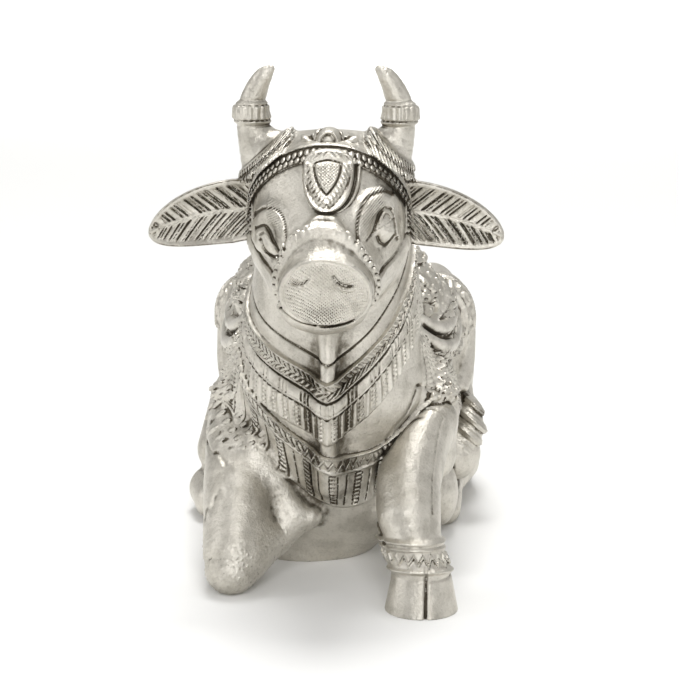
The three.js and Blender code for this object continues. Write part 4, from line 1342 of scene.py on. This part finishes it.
@dataclass
class Mould:
    """Turns the field inside one region into a closed triangle mesh."""

    bull: Bull
    region: Region
    low: Point
    high: Point
    cell: float
    faces: int
    lap: float = 0.3
    block: int = 8
    cluster: int = 4
    steepest: float = 1.35
    tallest: float = 0.6
    threads: int = 4
    batch: int = 40000
    fewest: int = 40
    probe: float = 0.1
    fine_probe: float = 0.08
    on_surface: float = 0.15

    def field(self, p: Places) -> Array:
        """The casting's field, closed off where the region ends."""
        return np.maximum(self.bull.distance(p), self.region.cut(p) - self.lap)

    def sample(self) -> Array:
        """Values on the region's grid; blocks that the surface can't cross keep their middle's value.

        Returns:
            The values on the grid.
        """
        blocks = [math.ceil((h - l) / self.cell / self.block) + 1 for l, h in zip(self.low, self.high)]
        middles = np.stack(np.meshgrid(*[np.arange(n) for n in blocks], indexing="ij"), -1).reshape(-1, 3)
        centres = np.array(self.low) + (middles + 0.5) * self.block * self.cell
        reach = self.block * self.cell * math.sqrt(3) / 2
        there = self.evaluate(self.field, centres.astype(np.float32))
        values = there.reshape(blocks)
        for axis in range(3):
            values = np.repeat(values, self.block, axis)
        near = middles[np.abs(there) < reach * self.steepest + self.tallest]
        group = near // self.cluster
        near = near[np.lexsort((near[:, 2], near[:, 1], near[:, 0], group[:, 2], group[:, 1], group[:, 0]))]
        group = near // self.cluster
        starts = np.flatnonzero(np.any(np.diff(group, axis=0), axis=1)) + 1
        offsets = np.stack(np.meshgrid(*[np.arange(self.block)] * 3, indexing="ij"), -1).reshape(-1, 3)

        def fill(members: Array) -> None:
            """Samples every corner in some neighbouring blocks.

            Args:
                members: The blocks, one row for each.
            """
            at = (members[:, None, :] * self.block + offsets[None]).reshape(-1, 3)
            spots = (np.array(self.low) + at * self.cell).astype(np.float32)
            p = Places(spots[:, 0].copy(), spots[:, 1].copy(), spots[:, 2].copy())
            values[at[:, 0], at[:, 1], at[:, 2]] = self.field(p)

        with ThreadPoolExecutor(self.threads) as pool:
            list(pool.map(fill, np.split(near, starts)))
        return values

    def evaluate(self, measure: Callable[[Places], Array], spots: Array) -> Array:
        """Some measure of many spots, worked out a share at a time.

        Args:
            measure: What is worked out at each place.
            spots: The places, one row for each.

        Returns:
            The measure at each place.
        """
        shares = np.array_split(np.arange(len(spots)), max(self.threads, len(spots) // self.batch))

        def of(share: Array) -> Array:
            """The measure of one share of the spots."""
            part = spots[share]
            return measure(Places(part[:, 0].copy(), part[:, 1].copy(), part[:, 2].copy()))

        with ThreadPoolExecutor(self.threads) as pool:
            return np.concatenate(list(pool.map(of, [s for s in shares if len(s)])))

    def slope(self, measure: Callable[[Places], Array], spots: Array, reach: float) -> Array:
        """The direction in which a measure grows at each spot, one unit long.

        Args:
            measure: What is worked out at each place.
            spots: The places, one row for each.
            reach: How far from each place the field is probed.

        Returns:
            One direction for each place.
        """
        corners = np.array([(1, 1, 1), (1, -1, -1), (-1, 1, -1), (-1, -1, 1)], np.float32)
        total = np.zeros_like(spots)
        for corner in corners:
            total += corner * self.evaluate(measure, spots + corner * np.float32(reach))[:, None]
        return total / np.maximum(np.linalg.norm(total, axis=1, keepdims=True), 1e-9)

    def polygonise(self, values: Array) -> tuple[Array, Array]:
        """Surface net of the sampled field.

        Args:
            values: The field on the grid.

        Returns:
            The vertices, in millimetres, and the quads, which face out.
        """
        inside = values < 0
        size = np.array(values.shape) - 1
        count = np.zeros(size, np.uint8)
        corners = [(i, j, k) for i in (0, 1) for j in (0, 1) for k in (0, 1)]
        window = [tuple(slice(c, n + c) for c, n in zip(corner, size)) for corner in corners]
        for part in window:
            count += inside[part]
        cells = np.argwhere((count > 0) & (count < 8))
        index = np.full(size, -1, np.int64)
        index[tuple(cells.T)] = np.arange(len(cells))
        total = np.zeros((len(cells), 3))
        crossings = np.zeros(len(cells))
        for axis in range(3):
            for corner in corners:
                if corner[axis]:
                    continue
                start = cells + corner
                end = start.copy()
                end[:, axis] += 1
                a, b = values[tuple(start.T)], values[tuple(end.T)]
                crossed = (a < 0) != (b < 0)
                t = a[crossed] / (a[crossed] - b[crossed])
                place = start[crossed].astype(float)
                place[:, axis] += t
                total[crossed] += place
                crossings[crossed] += 1
        vertices = total / crossings[:, None] * self.cell + np.array(self.low)
        quads = []
        for axis in range(3):
            u, v = (axis + 1) % 3, (axis + 2) % 3
            here = [slice(1, n) for n in size]
            here[axis] = slice(0, size[axis])
            there = list(here)
            there[axis] = slice(1, size[axis] + 1)
            a, b = inside[tuple(here)], inside[tuple(there)]
            for leaving in (True, False):
                at = np.argwhere(a & ~b if leaving else ~a & b)
                at[:, [u, v]] += 1
                ring = []
                for du, dv in ((0, 0), (-1, 0), (-1, -1), (0, -1)):
                    cell = at.copy()
                    cell[:, u] += du
                    cell[:, v] += dv
                    ring.append(index[tuple(cell.T)])
                quads.append(np.stack(ring if leaving else ring[::-1], 1))
        return vertices.astype(np.float32), np.concatenate(quads)

    def settle(self, vertices: Array, rounds: int, reach: float) -> Array:
        """Moves vertices onto the closed field's surface along its slope, never far.

        Args:
            vertices: The vertices, one row for each.
            rounds: How often they are moved.
            reach: How far from each place the field is probed.

        Returns:
            The moved vertices.
        """
        for _ in range(rounds):
            gap = self.evaluate(self.field, vertices)
            step = np.clip(gap, -0.4 * self.cell, 0.4 * self.cell)[:, None]
            vertices = vertices - self.slope(self.field, vertices, reach) * step
        return vertices

    def cast(self) -> bpy.types.Object:
        """The region as a dressed-ready object: thinned, smooth, with the field's own normals.

        Returns:
            The object.
        """
        vertices, quads = self.polygonise(self.sample())
        vertices = self.settle(vertices, 1, self.fine_probe)
        mesh = make_mesh(self.region.value, vertices, quads)
        piece = bpy.data.objects.new(self.region.value, mesh)
        bpy.context.scene.collection.objects.link(piece)
        triangles = 2 * len(quads)
        if triangles > self.faces:
            thin = piece.modifiers.new("thin", "DECIMATE")
            thin.ratio = self.faces / triangles
            graph = bpy.context.evaluated_depsgraph_get()
            thinned = bpy.data.meshes.new_from_object(piece.evaluated_get(graph))
            piece.modifiers.clear()
            piece.data = thinned
            bpy.data.meshes.remove(mesh)
        self.drop_slivers(piece.data)
        self.finish(piece.data)
        return piece

    def drop_slivers(self, mesh: bpy.types.Mesh) -> None:
        """Deletes loose bits of few vertices, or wholly where the neighbouring region covers the casting.

        Args:
            mesh: The mesh, still in the canon's measures.
        """
        spots = spots_of(mesh)
        ends = np.zeros(len(mesh.edges) * 2, np.int32)
        mesh.edges.foreach_get("vertices", ends)
        a, b = ends.reshape(-1, 2).T
        island = np.arange(len(spots))
        settled = False
        while not settled:
            joined = island.copy()
            least = np.minimum(island[a], island[b])
            np.minimum.at(joined, a, least)
            np.minimum.at(joined, b, least)
            joined = joined[joined]
            settled = np.array_equal(joined, island)
            island = joined
        deepest = np.full(len(spots), FAR, np.float32)
        np.minimum.at(deepest, island, self.evaluate(self.region.cut, spots))
        size = np.bincount(island, minlength=len(spots))
        loose = np.flatnonzero((deepest[island] > -self.lap) | (size[island] < self.fewest))
        log.info("%s: %d vertices of slivers", self.region.value, len(loose))
        if len(loose):
            net = bmesh.new()
            net.from_mesh(mesh)
            net.verts.ensure_lookup_table()
            bmesh.ops.delete(net, geom=[net.verts[i] for i in loose.tolist()], context="VERTS")
            net.to_mesh(mesh)
            net.free()

    def finish(self, mesh: bpy.types.Mesh) -> None:
        """Gives the mesh its normals and its hollows from the field, and puts it in its place; the hollows
        paint patina and shade into the recesses.

        Args:
            mesh: The mesh, still in the canon's measures.
        """
        spots = spots_of(mesh)
        open_air = self.slope(self.bull.distance, spots, self.probe)
        cut = self.slope(self.field, spots, self.probe)
        on_casting = np.abs(self.evaluate(self.bull.distance, spots)) < self.on_surface
        normals = np.where(on_casting[:, None], open_air, cut)
        # Hollow: how shut in each vertex is, which the finish paints as patina and shade in the recesses.
        hollow = np.zeros(len(spots), np.float32)
        for reach, share in HOLLOW_LOOKS:
            gap = self.evaluate(self.bull.distance, spots + open_air * np.float32(reach))
            hollow += share * np.clip(1 - gap / reach, 0, 1)
        crown = np.zeros(len(spots), np.float32)
        for reach in CROWN_LOOKS:
            gap = self.evaluate(self.bull.distance, spots - open_air * np.float32(reach))
            crown += 0.5 * np.clip(1 + gap / reach, 0, 1)
        for name, values in (("hollow", hollow), ("crown", crown)):
            mesh.attributes.new(name, "FLOAT", "POINT").data.foreach_set("value", values.astype(np.float32))
        placed = (spots - np.array([*MIDDLE, 0], np.float32)) * TO_METRES
        mesh.vertices.foreach_set("co", placed.ravel())
        mesh.polygons.foreach_set("use_smooth", np.ones(len(mesh.polygons), bool))
        mesh.normals_split_custom_set_from_vertices(normals.tolist())
        mesh.update()


def spots_of(mesh: bpy.types.Mesh) -> Array:
    """The places of a mesh's vertices.

    Args:
        mesh: The mesh.

    Returns:
        One row for each vertex.
    """
    spots = np.zeros(len(mesh.vertices) * 3, np.float32)
    mesh.vertices.foreach_get("co", spots)
    return spots.reshape(-1, 3)


def make_mesh(name: str, vertices: Array, quads: Array) -> bpy.types.Mesh:
    """A mesh from vertices and quads.

    Args:
        name: The mesh's name.
        vertices: The vertices, one row for each.
        quads: The corners of each face, one row for each.

    Returns:
        The mesh.
    """
    mesh = bpy.data.meshes.new(name)
    mesh.vertices.add(len(vertices))
    mesh.vertices.foreach_set("co", vertices.astype(np.float32).ravel())
    mesh.loops.add(quads.size)
    mesh.loops.foreach_set("vertex_index", quads.astype(np.int32).ravel())
    mesh.polygons.add(len(quads))
    mesh.polygons.foreach_set("loop_start", np.arange(0, quads.size, 4, dtype=np.int32))
    mesh.polygons.foreach_set("loop_total", np.full(len(quads), 4, np.int32))
    mesh.update(calc_edges=True)
    return mesh


# Finish, studio and camera


@dataclass(frozen=True)
class SilverFinish:
    """Satin silver-coloured metal with a dark patina and painted shade left in the recesses."""

    metal: Colour = (0.68, 0.65, 0.585, 1)
    # The darkest colour, for patina and painted shade in the recesses.
    patina_and_shade_colour: Colour = (0.135, 0.117, 0.088, 1)
    haze: Colour = (0.44, 0.415, 0.36, 1)
    polished: float = 0.26
    satin: float = 0.42
    cloud_scale: float = 180.0
    speck_scale: float = 600.0
    grain_scale: float = 1800.0
    relief_strength: float = 0.7
    relief_height: float = 0.0002

    def material(self) -> bpy.types.Material:
        """The node material.

        Returns:
            The material.
        """
        made = bpy.data.materials.new("silver_metal_chased")
        made.use_nodes = True
        nodes, links = made.node_tree.nodes, made.node_tree.links
        shader = nodes["Principled BSDF"]
        shader.inputs["Metallic"].default_value = 1.0

        def node(kind: str, **settings: object) -> bpy.types.Node:
            """A node of some kind with its settings.

            Args:
                kind: Blender's name of the node.
                settings: Attributes to set on it.

            Returns:
                The node.
            """
            new = nodes.new(kind)
            for key, value in settings.items():
                setattr(new, key, value)
            return new

        def math_node(operation: str, a: object, b: object, clamp: bool = False) -> bpy.types.NodeSocket:
            """The result of a sum on two sockets or numbers.

            Args:
                operation: Blender's name of the sum.
                a: The first socket or value.
                b: The second socket or value.
                clamp: Whether the result is kept between 0 and 1.

            Returns:
                The result's socket.
            """
            new = node("ShaderNodeMath", operation=operation, use_clamp=clamp)
            for socket, value in zip(new.inputs, (a, b)):
                if isinstance(value, bpy.types.NodeSocket):
                    links.new(value, socket)
                else:
                    socket.default_value = value
            return new.outputs[0]

        def noise(scale: float, detail: float, roughness: float = 0.6) -> bpy.types.NodeSocket:
            """Noise in the object's own measures.

            Args:
                scale: The noise's scale.
                detail: Its octaves.
                roughness: How strong the finer octaves are.

            Returns:
                The noise's socket.
            """
            new = node("ShaderNodeTexNoise")
            new.inputs["Scale"].default_value = scale
            new.inputs["Detail"].default_value = detail
            new.inputs["Roughness"].default_value = roughness
            links.new(place.outputs["Object"], new.inputs["Vector"])
            return new.outputs[0]

        def ramp(value: bpy.types.NodeSocket, low: float, high: float) -> bpy.types.NodeSocket:
            """0 below low, 1 above high.

            Args:
                value: The socket that is ramped.
                low: Where the ramp starts.
                high: Where it ends.

            Returns:
                The result's socket.
            """
            new = node("ShaderNodeMapRange", interpolation_type="SMOOTHSTEP")
            links.new(value, new.inputs["Value"])
            new.inputs["From Min"].default_value = low
            new.inputs["From Max"].default_value = high
            return new.outputs[0]

        def mix(share: bpy.types.NodeSocket, a: object, b: object) -> bpy.types.NodeSocket:
            """A colour between two colours.

            Args:
                share: How much of the second colour.
                a: The first socket or value.
                b: The second socket or value.

            Returns:
                The colour's socket.
            """
            new = node("ShaderNodeMix", data_type="RGBA")
            links.new(share, new.inputs["Factor"])
            for socket, value in ((new.inputs[6], a), (new.inputs[7], b)):
                if isinstance(value, bpy.types.NodeSocket):
                    links.new(value, socket)
                else:
                    socket.default_value = value
            return new.outputs[2]

        place = node("ShaderNodeTexCoord")
        hollow = node("ShaderNodeAttribute", attribute_name="hollow").outputs["Fac"]
        crown = node("ShaderNodeAttribute", attribute_name="crown").outputs["Fac"]
        cloudy = noise(self.cloud_scale, 4)
        grain = noise(self.grain_scale, 3, 0.7)
        coarse = noise(self.speck_scale, 3)
        # Patina and painted shade: the hollow measure darkens the recesses, coarse noise varies it at random,
        # and raised crowns stay lighter as rubbed wear.
        patina_and_painted_shade = math_node("ADD", hollow, math_node("MULTIPLY", math_node("SUBTRACT", coarse, 0.5), 0.45))
        patina_and_painted_shade = math_node("SUBTRACT", patina_and_painted_shade, math_node("MULTIPLY", crown, 0.35))
        dark = ramp(patina_and_painted_shade, 0.07, 0.36)
        hazy = math_node("MULTIPLY", ramp(cloudy, 0.42, 0.66), 0.6)
        hazy = math_node("ADD", hazy, math_node("MULTIPLY", ramp(grain, 0.5, 0.72), 0.4), clamp=True)
        # The metal is mixed towards the patina-and-shade colour wherever the painted shade mask is high.
        colour = mix(dark, mix(hazy, self.metal, self.haze), self.patina_and_shade_colour)
        links.new(colour, shader.inputs["Base Color"])
        rough = math_node("ADD", self.satin, math_node("MULTIPLY", math_node("SUBTRACT", grain, 0.5), 0.3))
        rough = math_node("SUBTRACT", rough, math_node("MULTIPLY", crown, self.satin - self.polished))
        rough = math_node("ADD", rough, math_node("MULTIPLY", dark, 0.2), clamp=True)
        links.new(rough, shader.inputs["Roughness"])
        relief = node("ShaderNodeBump")
        relief.inputs["Strength"].default_value = self.relief_strength
        relief.inputs["Distance"].default_value = self.relief_height
        links.new(math_node("ADD", grain, math_node("MULTIPLY", coarse, 1.5)), relief.inputs["Height"])
        links.new(relief.outputs[0], shader.inputs["Normal"])
        return made


@dataclass(frozen=True)
class Softbox:
    """A soft studio light, its sizes in metres."""

    name: str
    at: Point
    size: Flat
    power: float
    aim: Point = (0.0, 0.0, 0.05)
    spread: float = 180.0

    def hang(self) -> None:
        """Puts the light up."""
        light = bpy.data.lights.new(self.name, "AREA")
        light.shape = "RECTANGLE"
        light.size, light.size_y = self.size
        light.energy = self.power
        light.spread = math.radians(self.spread)
        lamp = bpy.data.objects.new(self.name, light)
        lamp.location = self.at
        lamp.rotation_euler = (Vector(self.aim) - Vector(self.at)).to_track_quat("-Z", "Y").to_euler()
        bpy.context.scene.collection.objects.link(lamp)


@dataclass(frozen=True)
class Studio:
    """Pale floor, bright surround, soft lights, and the camera at the photograph's angle."""

    azimuth: float = 3.5
    elevation: float = 13.0
    distance: float = 0.470
    target: Point = (0.0, 0.0, 46.4)
    lens: float = 106.8
    sensor: float = 36.0
    clip: Flat = (0.01, 50.0)
    floor_side: float = 6.0
    paper: Colour = (0.9, 0.9, 0.89, 1)
    sky: Colour = (1, 0.99, 0.97, 1)
    glow: Flat = (0.3, 0.5)
    glow_rise: Flat = (-0.6, 0.25)
    softboxes: tuple[Softbox, ...] = (
        Softbox("key", (0.1, -0.7, 0.75), (0.3, 0.3), 2.1),
        Softbox("low", (0.1, -0.8, 0.2), (0.5, 0.2), 1.2),
        Softbox("left", (-0.8, -0.2, 0.4), (0.2, 0.6), 1.4),
        Softbox("right", (0.8, -0.1, 0.4), (0.2, 0.6), 0.6),
        Softbox("top", (0.0, 0.3, 1.3), (0.45, 0.45), 11.0),
        Softbox("background", (0.0, 1.9, 1.3), (1.6, 0.8), 26.0, (0.0, 2.0, 0.0), 100.0),
    )

    def camera(self) -> None:
        """Puts up the camera."""
        data = bpy.data.cameras.new("camera")
        data.sensor_width = self.sensor
        data.lens = self.lens
        data.clip_start, data.clip_end = self.clip
        eye = bpy.data.objects.new("camera", data)
        a, e = math.radians(self.azimuth), math.radians(self.elevation)
        back = Vector((math.sin(a) * math.cos(e), -math.cos(a) * math.cos(e), math.sin(e)))
        aim = (Vector(self.target) - Vector((*MIDDLE, 0))) * TO_METRES
        eye.location = aim + back * self.distance
        eye.rotation_euler = (-back).to_track_quat("-Z", "Y").to_euler()
        bpy.context.scene.collection.objects.link(eye)
        bpy.context.scene.camera = eye

    def surround(self) -> None:
        """Lights the world: bright all round, dimmer low on the side of the camera."""
        world = bpy.data.worlds.new("studio")
        world.use_nodes = True
        bpy.context.scene.world = world
        nodes, links = world.node_tree.nodes, world.node_tree.links
        place = nodes.new("ShaderNodeTexCoord")
        split = nodes.new("ShaderNodeSeparateXYZ")
        links.new(place.outputs["Generated"], split.inputs[0])
        share = nodes.new("ShaderNodeMapRange")
        share.interpolation_type = "SMOOTHSTEP"
        links.new(split.outputs["Y"], share.inputs["Value"])
        for name, value in zip(("From Min", "From Max", "To Min", "To Max"), (*self.glow_rise, *self.glow)):
            share.inputs[name].default_value = value
        links.new(share.outputs[0], nodes["Background"].inputs["Strength"])
        nodes["Background"].inputs["Color"].default_value = self.sky

    def floor(self) -> None:
        """Lays the pale floor."""
        half = self.floor_side / 2
        mesh = bpy.data.meshes.new("floor")
        corners = [(-half, -half, 0), (half, -half, 0), (half, half, 0), (-half, half, 0)]
        mesh.from_pydata(corners, [], [(0, 1, 2, 3)])
        paper = bpy.data.materials.new("paper")
        paper.use_nodes = True
        shader = paper.node_tree.nodes["Principled BSDF"]
        shader.inputs["Base Color"].default_value = self.paper
        shader.inputs["Roughness"].default_value = 0.9
        mesh.materials.append(paper)
        sheet = bpy.data.objects.new("floor", mesh)
        bpy.context.scene.collection.objects.link(sheet)

    def build(self) -> None:
        """Sets up the whole studio."""
        bpy.context.scene.view_settings.view_transform = "Standard"
        self.camera()
        self.surround()
        self.floor()
        for softbox in self.softboxes:
            softbox.hang()


def moulds(bull: Bull) -> list[Mould]:
    """One mould for each region of the casting; coarse scales every cell size and is 1 here.

    Args:
        bull: The casting's field.

    Returns:
        The moulds, in the order in which they are cast.
    """
    coarse = 1.0
    plan = [
        (Region.HEAD, (-21, -62, 52), (21, -8, 104), 0.23, 195000),
        (Region.MUZZLE, (-10.5, -66, 57), (12.5, -53, 81), 0.15, 120000),
        (Region.HORNS_AND_EARS, (-42, -46, 60), (42, -14, 117), 0.25, 118000),
        (Region.NECK, (-34, -50, 12), (34, -12, 80), 0.25, 195000),
        (Region.FORELEGS, (-34, -66, -2), (34, -12, 40), 0.3, 110000),
        (Region.SADDLE, (-38, -16, -2), (38, 19, 90), 0.28, 156000),
        (Region.HINDQUARTERS, (-40, 15, -2), (40, 68, 72), 0.35, 106000),
    ]
    return [Mould(bull, region, low, high, cell * coarse, faces) for region, low, high, cell, faces in plan]


def main() -> None:
    """Builds the studio and the casting and reports each piece."""
    logging.basicConfig(level=logging.INFO, format="%(name)s: %(message)s")
    Studio().build()
    finish = SilverFinish().material()
    for mould in moulds(Bull()):
        piece = mould.cast()
        piece.data.materials.clear()
        piece.data.materials.append(finish)
        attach(piece, "root")
        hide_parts(NODE)
        log.info("%s: %d faces", piece.name, len(piece.data.polygons))


if __name__ == "__main__":
    main()
